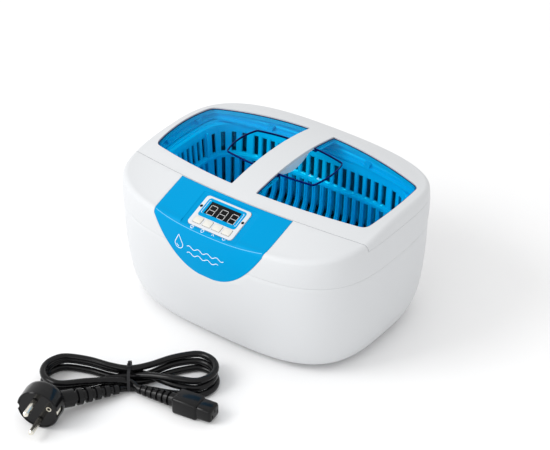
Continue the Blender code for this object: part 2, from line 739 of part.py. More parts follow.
def grip_hole_outline():
    """Barrel-shaped hole in the window sheet, round the bar."""
    half_x, half_y = GRIP_HOLE
    bow_x, bow_y = GRIP_HOLE_BOW
    steps = 6
    shares = [2 * k / steps - 1 for k in range(steps)]
    front = [(half_x * s, CROWN_Y - half_y - bow_y * (1 - s * s)) for s in shares]
    right = [(half_x + bow_x * (1 - s * s), CROWN_Y + half_y * s) for s in shares]
    rear = [(-half_x * s, CROWN_Y + half_y + bow_y * (1 - s * s)) for s in shares]
    left = [(-half_x - bow_x * (1 - s * s), CROWN_Y - half_y * s) for s in shares]
    return [*front, *right, *rear, *left]


def sheet_point(across, share, depth):
    """Point of the tinted sheet at depth below the crown: across -1 to 1, share 0 in front to 1 behind."""
    half_x = 0.1170 + 0.0200 * share * (1 - share) - 0.0040 * share
    x = half_x * across
    front = -0.0485 + 1.45 * x * x
    rear = 0.0752 - 1.36 * x * x
    y = front + (rear - front) * share
    return Vector((x, y, crown(x, y) - depth))


def sheet_solid(name, depth, thick, finish=None):
    """A sheet that follows the crown at depth below it."""
    columns = 16
    rows = 8
    bm = bmesh.new()
    layers = []
    for level in (depth, depth + thick):
        layer = []
        for r in range(rows + 1):
            line = [sheet_point(2 * c / columns - 1, r / rows, level) for c in range(columns + 1)]
            layer.append([bm.verts.new(point) for point in line])
        layers.append(layer)
    upper, lower = layers
    for r in range(rows):
        for c in range(columns):
            for layer in layers:
                bm.faces.new((layer[r][c], layer[r][c + 1], layer[r + 1][c + 1], layer[r + 1][c]))
    for c in range(columns):
        for r in (0, rows):
            bm.faces.new((upper[r][c], upper[r][c + 1], lower[r][c + 1], lower[r][c]))
    for r in range(rows):
        for c in (0, columns):
            bm.faces.new((upper[r][c], upper[r + 1][c], lower[r + 1][c], lower[r][c]))
    return add_object(name, mesh_from_bmesh(name, bm), finish)


def make_lid_window(finish):
    """The tinted sheet, screwed under the frame, with a panel that steps up into each window."""
    sheet = sheet_solid("lid_window", SHEET_DEPTH, SHEET_THICK, finish)
    step_thick = SHEET_DEPTH - RAISED_DEPTH + 0.0005
    hollow_depth = RAISED_DEPTH + SHEET_THICK
    hollow_thick = SHEET_DEPTH + 0.004 - hollow_depth
    for side, word in ((1, "right"), (-1, "left")):
        step = as_cutter(sheet_solid(f"cut_step_{word}", RAISED_DEPTH, step_thick))
        outline = window_outline(side, 2 * GAP)
        combine(step, as_cutter(prism(f"cut_step_edge_{word}", outline, 0.11, 0.16)), "INTERSECT")
        combine(sheet, step, "UNION")
        hollow = as_cutter(sheet_solid(f"cut_hollow_{word}", hollow_depth, hollow_thick))
        outline = window_outline(side, 2 * GAP + SHEET_THICK)
        combine(hollow, as_cutter(prism(f"cut_hollow_edge_{word}", outline, 0.11, 0.16)), "INTERSECT")
        combine(sheet, hollow, "DIFFERENCE")
    combine(sheet, as_cutter(prism("cut_grip_hole", grip_hole_outline(), 0.11, 0.16)), "DIFFERENCE")
    for k, (x, y) in enumerate(LID_SCREW_PLACES):
        radius = LID_BOSS_RADIUS + 0.0004
        profile = [(radius, 0.11), (radius, 0.15)]
        hole = turned(f"cut_window_screw_{k}", profile, None, 12, at(x, y, 0))
        combine(sheet, as_cutter(hole), "DIFFERENCE")
    return sheet


def make_lid_screws(finish):
    screws = []
    for k, (x, y) in enumerate(LID_SCREW_PLACES):
        seat = lid_boss_top(x, y) - LID_BOSS_HEIGHT - GAP
        profile = [(0.0040, seat - 0.0012), (0.0040, seat), (0.0009, seat), (0.0009, seat + 0.0040)]
        screws.append(turned(f"lid_screw_{k + 1}", profile, finish, 10, at(x, y, 0)))
    return screws


def make_lid(white, tint, steel):
    place = at(0, CROWN_Y, LIP_Z)
    axis = add_empty("lid_lift_axis", place)
    for piece in (make_lid_frame(white), make_lid_window(tint), *make_lid_screws(steel)):
        attach(piece, axis, place)


# ---- drive and cooling --------------------------------------------------------------------------
def make_transducer(word, x, aluminium, ceramic, steel):
    """A horn glued under the tank, its ring stack and the mass bolted below it."""
    horn_height = 0.0135
    stack_height = 0.0060
    top = TANK_FLOOR_Z - TANK_SHEET - GAP
    place = at(x, TANK_Y, 0)
    horn = [(0.0150, top - horn_height), (0.0150, top - 0.0100), (0.0220, top - 0.0020), (0.0220, top)]
    turned(f"{word}_front_mass", horn, aluminium, 24, place)
    stack = top - horn_height - GAP
    turned(f"{word}_piezo_stack", [(0.0152, stack - stack_height), (0.0152, stack)], ceramic, 24, place)
    back = stack - stack_height - GAP
    nut = [(0.0045, back - 0.0115), (0.0045, back - 0.0085)]
    turned(f"{word}_back_mass", [*nut, (0.0145, back - 0.0085), (0.0145, back)], steel, 24, place)


def make_drive(board_finish, core_finish, metal_finish, sleeve_finish):
    box("driver_board", (*BOARD_SIZE, BOARD_THICK), board_finish, (0, BOARD_Y, BOARD_Z))
    core = (0.0300, 0.0260, 0.0240)
    box("drive_transformer", core, core_finish, (-0.0290, BOARD_Y - 0.003, 0.0272))
    sink_z = 0.0262
    sink_height = 0.0220
    back = (0.0260, 0.0060, sink_height)
    heatsink = box("drive_heatsink", back, metal_finish, (0.0200, BOARD_Y - 0.013, sink_z))
    for k in range(5):
        centre = (0.0100 + 0.0050 * k, BOARD_Y - 0.006, sink_z)
        fin = box(f"cut_fin_{k}", (0.0020, 0.0100, sink_height), None, centre)
        combine(heatsink, as_cutter(fin), "UNION")
    can = [(0.0080, BOARD_Z + 0.0011), (0.0080, BOARD_Z + 0.0225), (0.0072, BOARD_Z + 0.0235)]
    turned("filter_capacitor", can, sleeve_finish, 20, at(0.0, BOARD_Y + 0.0080, 0))


def make_heater(finish):
    thick = 0.0015
    low = TANK_FLOOR_Z - TANK_SHEET - GAP - thick
    loft("heater_pad", [tank_ring(0.0300, 0.0340, z, 32) for z in (low, low + thick)], finish)


def make_fan(frame_finish, rotor_finish):
    x, y = FAN_AT
    low = LEDGE_Z + 0.0020 + 2 * GAP
    frame = box("fan_frame", (FAN_SIZE, FAN_SIZE, FAN_HEIGHT), frame_finish, (x, y, low + FAN_HEIGHT / 2))
    bore = turned("cut_fan_bore", [(0.0232, 0.0), (0.0232, 0.03)], None, 28, at(*FAN_AT, 0))
    combine(frame, as_cutter(bore), "DIFFERENCE")
    spider = box("cut_fan_spider", (FAN_SIZE - 0.002, 0.0040, 0.0016), None, (x, y, low + 0.0008))
    combine(frame, as_cutter(spider), "UNION")
    axis = add_empty("fan_axis", at(x, y, low + 0.0070))
    rotor = turned("fan_rotor", [(0.0095, -0.0042), (0.0095, 0.0042)], rotor_finish, 20)
    pitch = Matrix.Rotation(math.radians(40), 4, "X")
    for k in range(FAN_BLADES):
        turn = Matrix.Rotation(math.tau * k / FAN_BLADES, 4, "Z")
        place = turn @ at(0.0148, 0, 0) @ pitch
        blade = box(f"cut_blade_{k}", (0.0140, 0.0090, 0.0010), None, matrix=place)
        blade.parent = rotor
        combine(rotor, as_cutter(blade), "UNION")
    rotor.parent = axis


def make_inlet(body_finish):
    """Rear inlet with three pins, which the lead's connector goes into."""
    x, _, z = INLET_AT
    size = (INLET[0], INLET_DEPTH, INLET[1])
    inlet = box("inlet_socket", size, body_finish, (x, INLET_FACE_Y - INLET_DEPTH / 2, z))
    hollow = (INLET_RECESS[0], 0.0160, INLET_RECESS[1])
    recess = box("cut_inlet_recess", hollow, None, (x, INLET_FACE_Y - 0.0040, z))
    combine(inlet, as_cutter(recess), "DIFFERENCE")
    rearward = Matrix.Rotation(-math.pi / 2, 4, "X")
    for k, (dx, dz) in enumerate([(-0.0048, 0.0015), (0.0048, 0.0015), (0.0, -0.0030)]):
        place = at(x + dx, INLET_FACE_Y - 0.0125, z + dz) @ rearward
        pin = turned(f"cut_inlet_pin_{k}", [(0.0011, 0.0), (0.0011, 0.0100)], None, 8, place)
        combine(inlet, as_cutter(pin), "UNION")


def smooth_route(points, step):
    """Points about step apart along a smooth curve through the given points."""
    route = []
    padded = [points[0] * 2 - points[1], *points, points[-1] * 2 - points[-2]]
    for before, start, end, after in zip(padded, padded[1:], padded[2:], padded[3:]):
        square = 2 * before - 5 * start + 4 * end - after
        cube = 3 * start - before - 3 * end + after
        count = max(1, round((end - start).length / step))
        for k in range(count):
            t = k / count
            route.append(start + 0.5 * ((end - before) * t + square * t ** 2 + cube * t ** 3))
    route.append(points[-1])
    return route


def tube(name, route, diameter, finish):
    curve = bpy.data.curves.new(name, "CURVE")
    curve.dimensions = "3D"
    curve.bevel_depth = diameter / 2
    curve.bevel_resolution = 2
    curve.render_resolution_u = 0
    curve.use_fill_caps = True
    spline = curve.splines.new("POLY")
    spline.points.add(len(route) - 1)
    for target, point in zip(spline.points, route):
        target.co = (*point, 1.0)
    return add_object(name, curve, finish)


def make_wiring(ribbon_finish, mains_finish):
    """The control board's cable and the mains wire, both held at their two ends."""
    ribbon = [
        (0.030, -0.088, 0.1125), (0.030, -0.084, 0.100), (0.038, -0.070, 0.060),
        (0.040, -0.062, 0.030), (0.040, -0.060, BOARD_Z + 0.0011),
    ]
    tube("control_cable", smooth_route([Vector(p) for p in ribbon], 0.006), 0.0030, ribbon_finish)
    mains = [
        (0.035, 0.0742, 0.030), (0.035, 0.0700, 0.029), (0.038, 0.062, 0.018),
        (0.052, 0.050, 0.0125), (0.074, 0.028, 0.0125), (0.075, -0.008, 0.0125),
        (0.070, -0.034, 0.0140), (0.0575, -0.040, 0.0140), (0.0536, -0.040, 0.0140),
    ]
    tube("inlet_wire", smooth_route([Vector(p) for p in mains], 0.008), 0.0035, mains_finish)


# ---- mains lead ---------------------------------------------------------------------------------
def lead_frame(x=0.0, y=0.0, z=0.0):
    """Matrix on the floor beside the cleaner: X along the hank, Y across it."""
    return at(LEAD_X, LEAD_Y, 0) @ Matrix.Rotation(LEAD_ANGLE, 4, "Z") @ at(x, y, z)


def hank_outline():
    """A bow-tie outline with round ends."""
    straight = HANK_HALF - HANK_LOBE
    steps = 8
    swell = (HANK_LOBE - HANK_WAIST) / 2
    half = []
    for k in range(steps + 1):
        share = k / steps
        half.append((straight * share, HANK_WAIST + swell * (1 - math.cos(math.pi * share))))
    for k in range(1, steps):
        turn = math.pi / 2 * (1 - k / steps)
        half.append((straight + HANK_LOBE * math.cos(turn), HANK_LOBE * math.sin(turn)))
    half.append((HANK_HALF, 0.0))
    lower_right = [(x, -y) for x, y in half]
    upper_right = [(x, y) for x, y in reversed(half[:-1])]
    upper_left = [(-x, y) for x, y in half[1:]]
    lower_left = [(-x, -y) for x, y in reversed(half[1:-1])]
    return [*lower_right, *upper_right, *upper_left, *lower_left]


def make_lead(rubber, brass):
    prism("lead_hank", hank_outline(), GAP, HANK_HEIGHT, rubber, lead_frame())
    make_tie(rubber)
    make_plug(rubber, brass)
    make_connector(rubber)


def make_tie(finish):
    """A flat tie bent over the waist of the hank."""
    half_y = HANK_WAIST + 0.0010
    high = HANK_HEIGHT + 0.0016
    inner_high = HANK_HEIGHT + 0.0006
    tie = box("lead_tie", (0.0032, 2 * half_y + 0.0024, high), finish, (0, 0, high / 2), lead_frame())
    hollow = box("cut_tie_hollow", (0.02, 2 * half_y, 2 * inner_high), None, (0, 0, 0), lead_frame())
    combine(tie, as_cutter(hollow), "DIFFERENCE")


def cone_between(name, start, end, radius_start, radius_end, finish, segments=14):
    """A tapered round piece between two points of the lead's own frame."""
    along = end - start
    turn = along.to_track_quat("Z", "Y").to_matrix().to_4x4()
    profile = [(radius_start, 0.0), (radius_end, along.length)]
    return turned(name, profile, finish, segments, lead_frame() @ Matrix.Translation(start) @ turn)


def make_plug(rubber, brass):
    face_out = Matrix.Rotation(math.pi / 2, 4, "X")
    head = [(PLUG_RADIUS - 0.003, -PLUG_DEPTH / 2), (PLUG_RADIUS, -PLUG_DEPTH / 2 + 0.004),
            (PLUG_RADIUS, PLUG_DEPTH / 2)]
    place = lead_frame(*PLUG_AT) @ Matrix.Rotation(PLUG_YAW, 4, "Z")
    plug = turned("lead_plug", head, rubber, 28, place @ face_out)
    relief_end = Vector((PLUG_AT[0] + 0.004, PLUG_AT[1] + 0.003, 0.0150))
    relief = cone_between("cut_plug_relief", PLUG_RELIEF_AT, relief_end, 0.0042, 0.0085, None)
    combine(plug, as_cutter(relief), "UNION")
    for k, side in enumerate((-1, 1)):
        x = side * PIN_SPREAD * math.cos(PIN_TURN)
        z = side * PIN_SPREAD * math.sin(PIN_TURN)
        base = place @ at(x, -PLUG_DEPTH / 2 - GAP, z)
        profile = [(0.0024, 0.0), (0.0024, 0.0175), (0.0014, 0.0190)]
        turned(f"lead_plug_pin_{k + 1}", profile, brass, 12, base @ face_out)


def make_connector(rubber):
    along = (CONNECTOR_AT - CONNECTOR_RELIEF_AT).normalized()
    place = lead_frame(*CONNECTOR_AT) @ Matrix.Rotation(math.atan2(along.y, along.x), 4, "Z")
    body = (0.0240, 0.0180, 0.0160)
    connector = box("lead_connector", body, rubber, (0.0115, 0, 0), place, bevel=0.0010)
    relief_end = CONNECTOR_AT + along * 0.002
    relief = cone_between("cut_connector_relief", CONNECTOR_RELIEF_AT, relief_end, 0.0042, 0.0062, None)
    combine(connector, as_cutter(relief), "UNION")
    nose = box("cut_connector_nose", (0.0160, 0.0160, 0.0130), None, (0.0290, 0, 0), place, bevel=0.0020)
    combine(connector, as_cutter(nose), "UNION")


# ---- assembly -----------------------------------------------------------------------------------
CUTTERS = {}


def make_shared_cutters():
    pocket = panel_skin("cut_panel_pocket", PANEL_THICK + GAP, 0.003, GAP, None)
    CUTTERS["panel_pocket"] = as_cutter(pocket)
    opening = (BEZEL[0] + 2 * GAP, BEZEL[1] + 2 * GAP, 0.03)
    CUTTERS["control_opening"] = as_cutter(box("cut_control_opening", opening, None, matrix=control_frame()))


def build():
    clear_scene()
    white = material("casing_white", (0.80, 0.81, 0.83), 0.35)
    blue = material("panel_blue", (0.0, 0.36, 0.78), 0.30)
    tint = material("window_tint", (0.0, 0.30, 0.72), 0.05, 0.0, 0.45)
    basket_blue = material("basket_blue", (0.0, 0.42, 0.80), 0.22)
    black = material("black_plastic", (0.02, 0.02, 0.022), 0.45)
    rubber = material("black_rubber", (0.03, 0.03, 0.032), 0.60)
    steel = material("stainless_steel", (0.62, 0.63, 0.64), 0.28, 1.0)
    brass = material("nickel_pin", (0.78, 0.76, 0.70), 0.25, 1.0)
    aluminium = material("aluminium", (0.75, 0.76, 0.78), 0.35, 1.0)
    ceramic = material("piezo_ceramic", (0.62, 0.56, 0.44), 0.55)
    silicone = material("silicone", (0.75, 0.75, 0.74), 0.50)
    board = material("circuit_board", (0.03, 0.22, 0.09), 0.40)
    cream = material("button_cream", (0.86, 0.86, 0.80), 0.40)
    make_shared_cutters()
    make_lower_casing(white)
    make_upper_casing(white)
    make_bottom_cover(black)
    make_feet_and_screws(rubber, steel)
    make_control_panel(blue)
    make_bezel(white)
    make_display(black, black, board, black)
    make_buttons(cream, black)
    make_tank(steel)
    make_gasket(silicone)
    make_basket(basket_blue)
    make_lid(white, tint, steel)
    make_transducer("left_transducer", -TRANSDUCER_X, aluminium, ceramic, steel)
    make_transducer("right_transducer", TRANSDUCER_X, aluminium, ceramic, steel)
    make_drive(board, black, aluminium, black)
    make_heater(silicone)
    make_fan(black, black)
    make_inlet(black)
    make_wiring(silicone, black)
    make_lead(rubber, brass)


build()
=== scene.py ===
"""Looks of the benchtop ultrasonic cleaner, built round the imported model.

Units are metres, +Z is up, +X is to the user's right and -Y is towards the user.
"""
from math import atan2, copysign, cos, exp, hypot, pi, radians, sin, tau

import bmesh
import bpy
from mathutils import Matrix, Vector


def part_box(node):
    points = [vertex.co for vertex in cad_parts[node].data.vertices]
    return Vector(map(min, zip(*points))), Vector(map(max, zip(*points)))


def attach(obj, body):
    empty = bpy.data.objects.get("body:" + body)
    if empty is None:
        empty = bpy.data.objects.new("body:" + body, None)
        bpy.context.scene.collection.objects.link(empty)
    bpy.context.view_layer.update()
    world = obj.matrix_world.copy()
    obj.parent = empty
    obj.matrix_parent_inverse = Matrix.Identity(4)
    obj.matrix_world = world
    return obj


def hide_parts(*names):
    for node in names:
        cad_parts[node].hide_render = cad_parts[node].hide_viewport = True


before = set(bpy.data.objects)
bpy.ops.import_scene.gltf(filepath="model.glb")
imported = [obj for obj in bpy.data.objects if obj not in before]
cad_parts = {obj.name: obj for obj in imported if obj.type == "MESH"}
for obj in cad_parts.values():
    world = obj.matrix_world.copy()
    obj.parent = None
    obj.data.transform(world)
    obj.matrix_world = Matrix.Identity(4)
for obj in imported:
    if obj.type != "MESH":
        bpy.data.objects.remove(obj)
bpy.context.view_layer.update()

# ---- sizes taken from the frame ----
CASING_LOW, CASING_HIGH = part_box("lower_casing")
LID_LOW, LID_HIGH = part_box("lid_frame")
_, FLANGE_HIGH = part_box("tank")
RIM_LOW, RIM_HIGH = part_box("basket")

# ---- form of the casing, the same as in the CAD ----
SEGMENTS = 192  # points round each plan outline
SOFT_FROM = radians(35)
QUARTERS = ((1, 1), (-1, 1), (-1, -1), (1, -1))  # signs of x and y, counterclockwise
PLAN_POWER = 3.26
FRONT_SQUARE = 0.35
REAR_SQUARE = 0.75
HALF_LENGTH = CASING_HIGH.x
DEPTH_CUT = 0.0331
BASE_Z = CASING_LOW.z
SEAM_Z = 0.098
LIP_Z = LID_LOW.z - 0.0002
DECK_Z = 0.118
WALL = 0.003
LID_WALL = 0.0028
FOOT_ROUND = 0.006
SHOULDER = 0.0045
SHOULDER_Z = 0.125  # level at which the shoulder's plan is taken
GAP = 0.0003
SEAM_GAP = 0.0001
LOWER_BULGE = 0.82
UPPER_LEAN = 3.5
TUCK = 0.009
TUCK_HEIGHT = 0.012
FRONT_FULL = 0.0024
FRONT_FULL_HEIGHT = 0.03
CROWN_Z = LID_HIGH.z
CROWN_Y = 0.0149
CROWN_X_CURVE = 0.7
CROWN_Y_CURVE = 1.78
LID_FRONT = -0.0575
LID_FRONT_CURVE = 1.09
SLOPE_MIDDLE = 0.4
SLOPE_FADE = 21.8
TANK_POWER = 4.5
TANK_FLOOR_Z = 0.042
PANEL_HALF = 0.06
PANEL_TIP_Z = 0.076
PANEL_FOOT = 0.972  # share of the panel's width at the shoulder's foot
PANEL_EASE = 0.006  # how much narrower it is at the shoulder's top
PANEL_TAPER = 0.44
PANEL_THICK = 0.0015
CONTROL_X = 0.0007
CONTROL_Y = -0.0784
CONTROL_Z = 0.1267
CONTROL_TILT = radians(21.0)
BEZEL = (0.0484, 0.0327)
BEZEL_TOP = 0.0012
PLATE = (0.0408, 0.0202)
DIGIT = (0.0033, 0.0025)  # half size of a figure between the middles of its strokes
DIGIT_PITCH = 0.01145
SEGMENT = 0.00055
SIGN_PITCH = 0.0113
SIGN_TOP = 0.00008  # how far the printed signs stand proud
SIGN_FOOT = -0.0003
DROP_AT = (-0.029, 0.0995)
WAVE_LENGTH = 0.01
WAVE_HEIGHT = 0.0012
WINDOW = (0.0321, 0.0137)
WINDOW_V = 0.0048
BUTTON = (0.0081, 0.0064)
BUTTON_PITCH = 0.0104
BUTTON_V = -0.0102
PLATE_V = 0.0042
CREASE_AT = 1.96  # where the crease crosses the panel's middle, as in panel_point
CREASE_RISE = 0.55  # how much higher up the shoulder it is at the panel's edges
CREASE_HALF = 0.97  # how far across the panel it reaches
RECESS = (0.06, 0.0375)
RECESS_FLOOR = 0.0008 * 0.4  # height of the panel's recess over the slope's plane
BASKET_DEPTH_CUT = 0.054
SHEET_THICK = 0.0015
SHEET_DEPTH = LID_WALL + 0.0008
RAISED_DEPTH = 0.0012
WINDOW_INNER_X = 0.013
WINDOW_END_X = 0.1185
WINDOW_END_CURVE = 2.2
WINDOW_FRONT_Y = -0.0442
WINDOW_FRONT_CURVE = 1.45
WINDOW_REAR_Y = 0.0718
WINDOW_REAR_CURVE = 1.2
WINDOW_FRONT = -0.0251  # where the windows' front and rear edges meet their ends
WINDOW_REAR = 0.056
LID_CUT = (0.11, 0.16)  # heights between which a cut goes right through the lid
GRIP_HALF = 0.0258
GRIP_DEPTH = 0.0126
GRIP_HOLE = (0.047, 0.0217)
GRIP_HOLE_BOW = (0.0035, 0.005)

# ---- the lead on the bench ----
LEAD_X = -0.022
LEAD_Y = -0.178
LEAD_ANGLE = radians(36.7)
CORD = 0.006  # diameter of the lead's cord
PLUG_AT = (-0.069, -0.05, 0.019)
PLUG_RADIUS = 0.0185
PLUG_DEPTH = 0.02
PLUG_YAW = radians(-18)
PLUG_RELIEF_AT = Vector((-0.0085, -0.0155, 0.0062))
CONNECTOR_RELIEF_AT = Vector((0.0085, -0.0155, 0.0062))
CONNECTOR_AT = Vector((0.042, -0.033, 0.0082))
RELIEF_THIN = 0.004  # radius of a strain relief where the cord comes out

# ---- the camera ----
CAMERA_AZIMUTH = radians(36.737)
CAMERA_ELEVATION = radians(34.161)
CAMERA_DISTANCE = 1.645
CAMERA_TARGET = Vector((0, 0.0149, 0.0627))
CAMERA_LENS = 118.62
CAMERA_SHIFT = (-0.01736, 0.0106)


# ---- mesh helpers ----
def at(x, y, z):
    return Matrix.Translation((x, y, z))


def shade(mesh, degrees=32):
    mesh.shade_smooth()
    mesh.set_sharp_from_angle(angle=radians(degrees))


def linked(name, data, matrix=None):
    """A new object in the scene."""
    item = bpy.data.objects.new(name, data)
    if matrix is not None:
        item.matrix_world = matrix
    bpy.context.scene.collection.objects.link(item)
    return item


def add_mesh(name, bm, matrix=None, turn_out=True):
    if turn_out:
        bmesh.ops.recalc_face_normals(bm, faces=bm.faces)
    mesh = bpy.data.meshes.new(name)
    bm.to_mesh(mesh)
    bm.free()
    if matrix is not None:
        mesh.transform(matrix)
    shade(mesh)
    return linked(name, mesh)


def evaluated(item):
    """Make the object's modifiers part of its mesh."""
    bpy.context.view_layer.update()
    depsgraph = bpy.context.evaluated_depsgraph_get()
    mesh = bpy.data.meshes.new_from_object(item.evaluated_get(depsgraph))
    item.modifiers.clear()
    item.data = mesh
    shade(mesh)


def combine(item, other, operation="DIFFERENCE"):
    """Cut the other object from this one, unite them or keep what they share; the other is used up."""
    modifier = item.modifiers.new(operation.title(), "BOOLEAN")
    modifier.operation = operation
    modifier.object = other
    modifier.solver = "EXACT"
    evaluated(item)
    bpy.data.objects.remove(other, do_unlink=True)


def soften(item, width):
    """Round off the edges that turn more than SOFT_FROM."""
    modifier = item.modifiers.new("Soft edges", "BEVEL")
    modifier.width = width
    modifier.segments = 2
    modifier.limit_method = "ANGLE"
    modifier.angle_limit = SOFT_FROM
    evaluated(item)


def loft(name, rings, closed=False, matrix=None):
    """A solid through rings of equal point counts, capped at both ends or joined into a closed loop."""
    bm = bmesh.new()
    rows = [[bm.verts.new(point) for point in ring] for ring in rings]
    for low, high in zip(rows, rows[1:] + rows[:1] * closed):
        for quad in zip(low, low[1:] + low[:1], high[1:] + high[:1], high):
            bm.faces.new(quad)
    if not closed:
        bm.faces.new(reversed(rows[0]))
        bm.faces.new(rows[-1])
    return add_mesh(name, bm, matrix)


def slab(name, grid):
    """A closed sheet from rows of pairs, each a point on one face and the point across from it."""
    bm = bmesh.new()
    rows = [[[bm.verts.new(point) for point in pair] for pair in line] for line in grid]
    for row, following in zip(rows, rows[1:]):
        for a, b, c, d in zip(row, row[1:], following[1:], following):
            bm.faces.new((a[0], b[0], c[0], d[0]))
            bm.faces.new((d[1], c[1], b[1], a[1]))
    rim = rows[0] + [row[-1] for row in rows[1:]] + rows[-1][-2::-1] + [row[0] for row in rows[-2:0:-1]]
    for a, b in zip(rim, rim[1:] + rim[:1]):
        bm.faces.new((a[0], b[0], b[1], a[1]))
    return add_mesh(name, bm)


def turned(name, profile, segments=48, matrix=None, closed=False):
    """A solid of revolution about local Z, from (radius, z) pairs in order."""
    step = tau / segments
    turns = [(cos(step * k), sin(step * k)) for k in range(segments)]
    rings = [[Vector((r * c, r * s, z)) for c, s in turns] for r, z in profile]
    return loft(name, rings, closed, matrix)


def prism(name, outline, low, high, matrix=None):
    rings = [[Vector((x, y, z)) for x, y in outline] for z in (low, high)]
    return loft(name, rings, False, matrix)


def box(name, size, centre=(0, 0, 0), matrix=None, bevel=0.0, segments=3):
    bm = bmesh.new()
    bmesh.ops.create_cube(bm, size=1.0)
    bmesh.ops.scale(bm, vec=size, verts=bm.verts)
    bmesh.ops.translate(bm, vec=centre, verts=bm.verts)
    if bevel > 0:
        bmesh.ops.bevel(bm, geom=bm.edges[:], offset=bevel, segments=segments, profile=0.5, affect="EDGES")
    return add_mesh(name, bm, matrix)


def joined(name, items):
    """One object with the meshes of several."""
    bm = bmesh.new()
    for item in items:
        item.data.transform(item.matrix_world)
        bm.from_mesh(item.data)
        bpy.data.objects.remove(item, do_unlink=True)
    return add_mesh(name, bm, turn_out=False)


def spread(first, last, steps):
    """Numbers from first to last in equal steps, both ends among them."""
    return [first + (last - first) * k / steps for k in range(steps + 1)]


def rounded_rectangle(half_x, half_y, radius, steps=8):
    outline = []
    for corner, (sign_x, sign_y) in enumerate(QUARTERS):
        for k in range(steps + 1):
            turn = pi / 2 * (corner + k / steps)
            x = sign_x * (half_x - radius) + radius * cos(turn)
            y = sign_y * (half_y - radius) + radius * sin(turn)
            outline.append((x, y))
    return outline


def rounded_loop(curves, radii, steps=8):
    """Join curves end to end, with a corner of the given reach after each."""
    outline = []
    for index, curve in enumerate(curves):
        before = radii[index - 1]
        after = radii[index]
        kept = [p for p in curve if (p - curve[0]).length > before and (p - curve[-1]).length > after]
        corner = curve[-1]
        ahead = [p for p in curves[(index + 1) % len(curves)] if (p - corner).length > after]
        start = corner + (kept[-1] - corner).normalized() * after
        end = corner + (ahead[0] - corner).normalized() * after
        outline += kept
        for k in range(steps + 1):
            t = k / steps
            outline.append(start * (1 - t) ** 2 + corner * 2 * t * (1 - t) + end * t ** 2)
    return [(p.x, p.y) for p in outline]


# ---- materials ----
def fill(node, **values):
    """Set a node's inputs by name, with _ for each space."""
    for key, value in values.items():
        node.inputs[key.replace("_", " ")].default_value = value


def new_material(name):
    """A new material, with a maker of its nodes and a maker of their links."""
    made = bpy.data.materials.new(name)
    made.use_nodes = True
    tree = made.node_tree

    def add(kind, **values):
        node = tree.nodes.new("ShaderNode" + kind)
        fill(node, **values)
        return node

    def link(source, output, target, socket):
        tree.links.new(source.outputs[output], target.inputs[socket])

    return made, add, link


def drifting(add, link, place, colour, other, **noise):
    """Colour that drifts slowly between two tones."""
    slow = add("TexNoise", **noise)
    link(place, "Object", slow, "Vector")
    mix = add("Mix")
    mix.data_type = "RGBA"
    fill(mix, A=(*colour, 1.0), B=(*other, 1.0))
    link(slow, "Fac", mix, "Factor")
    return mix


def surface(name, colour, other, roughness, metallic=0.0, grain=900.0, bump=0.02, spread=0.06,
            drift=14.0, stretch=(1, 1, 1), coat=0.0, specular=0.5):
    """A moulded or machined finish.

    The colour drifts slowly between two tones, and the roughness and the relief follow a fine grain.
    grain and drift are cycles per metre, and stretch squeezes the grain along an axis.
    """
    made, add, link = new_material(name)
    shader = made.node_tree.nodes["Principled BSDF"]
    fill(shader, Metallic=metallic, IOR=1.5, Specular_IOR_Level=specular, Coat_Weight=coat,
         Coat_Roughness=0.08)
    place = add("TexCoord")
    tones = drifting(add, link, place, colour, other, Scale=drift, Detail=3.0)
    link(tones, "Result", shader, "Base Color")
    mapping = add("Mapping", Scale=stretch)
    link(place, "Object", mapping, "Vector")
    fine = add("TexNoise", Scale=grain, Detail=4.0)
    link(mapping, "Vector", fine, "Vector")
    span = add("MapRange", To_Min=max(roughness - spread, 0.02), To_Max=roughness + spread)
    link(fine, "Fac", span, "Value")
    link(span, "Result", shader, "Roughness")
    relief = add("Bump", Strength=bump, Distance=0.0004)
    link(fine, "Fac", relief, "Height")
    link(relief, "Normal", shader, "Normal")
    return made


def clear_tint(name, colour, other, roughness):
    """Clear tinted sheet: what is behind shows through its colour, with a gloss at grazing angles."""
    made, add, link = new_material(name)
    nodes = made.node_tree.nodes
    nodes.remove(nodes["Principled BSDF"])
    tones = drifting(add, link, add("TexCoord"), colour, other, Scale=30.0)
    through = add("BsdfTransparent")
    link(tones, "Result", through, "Color")
    gloss = add("BsdfGlossy", Roughness=roughness)
    weight = add("LayerWeight", Blend=0.5)
    rise = add("Math")
    rise.operation = "POWER"
    rise.inputs[1].default_value = 8.0
    link(weight, "Facing", rise, 0)
    blend = add("MixShader")
    link(rise, "Value", blend, "Fac")
    link(through, "BSDF", blend, 1)
    link(gloss, "BSDF", blend, 2)
    link(blend, "Shader", nodes["Material Output"], "Surface")
    return made


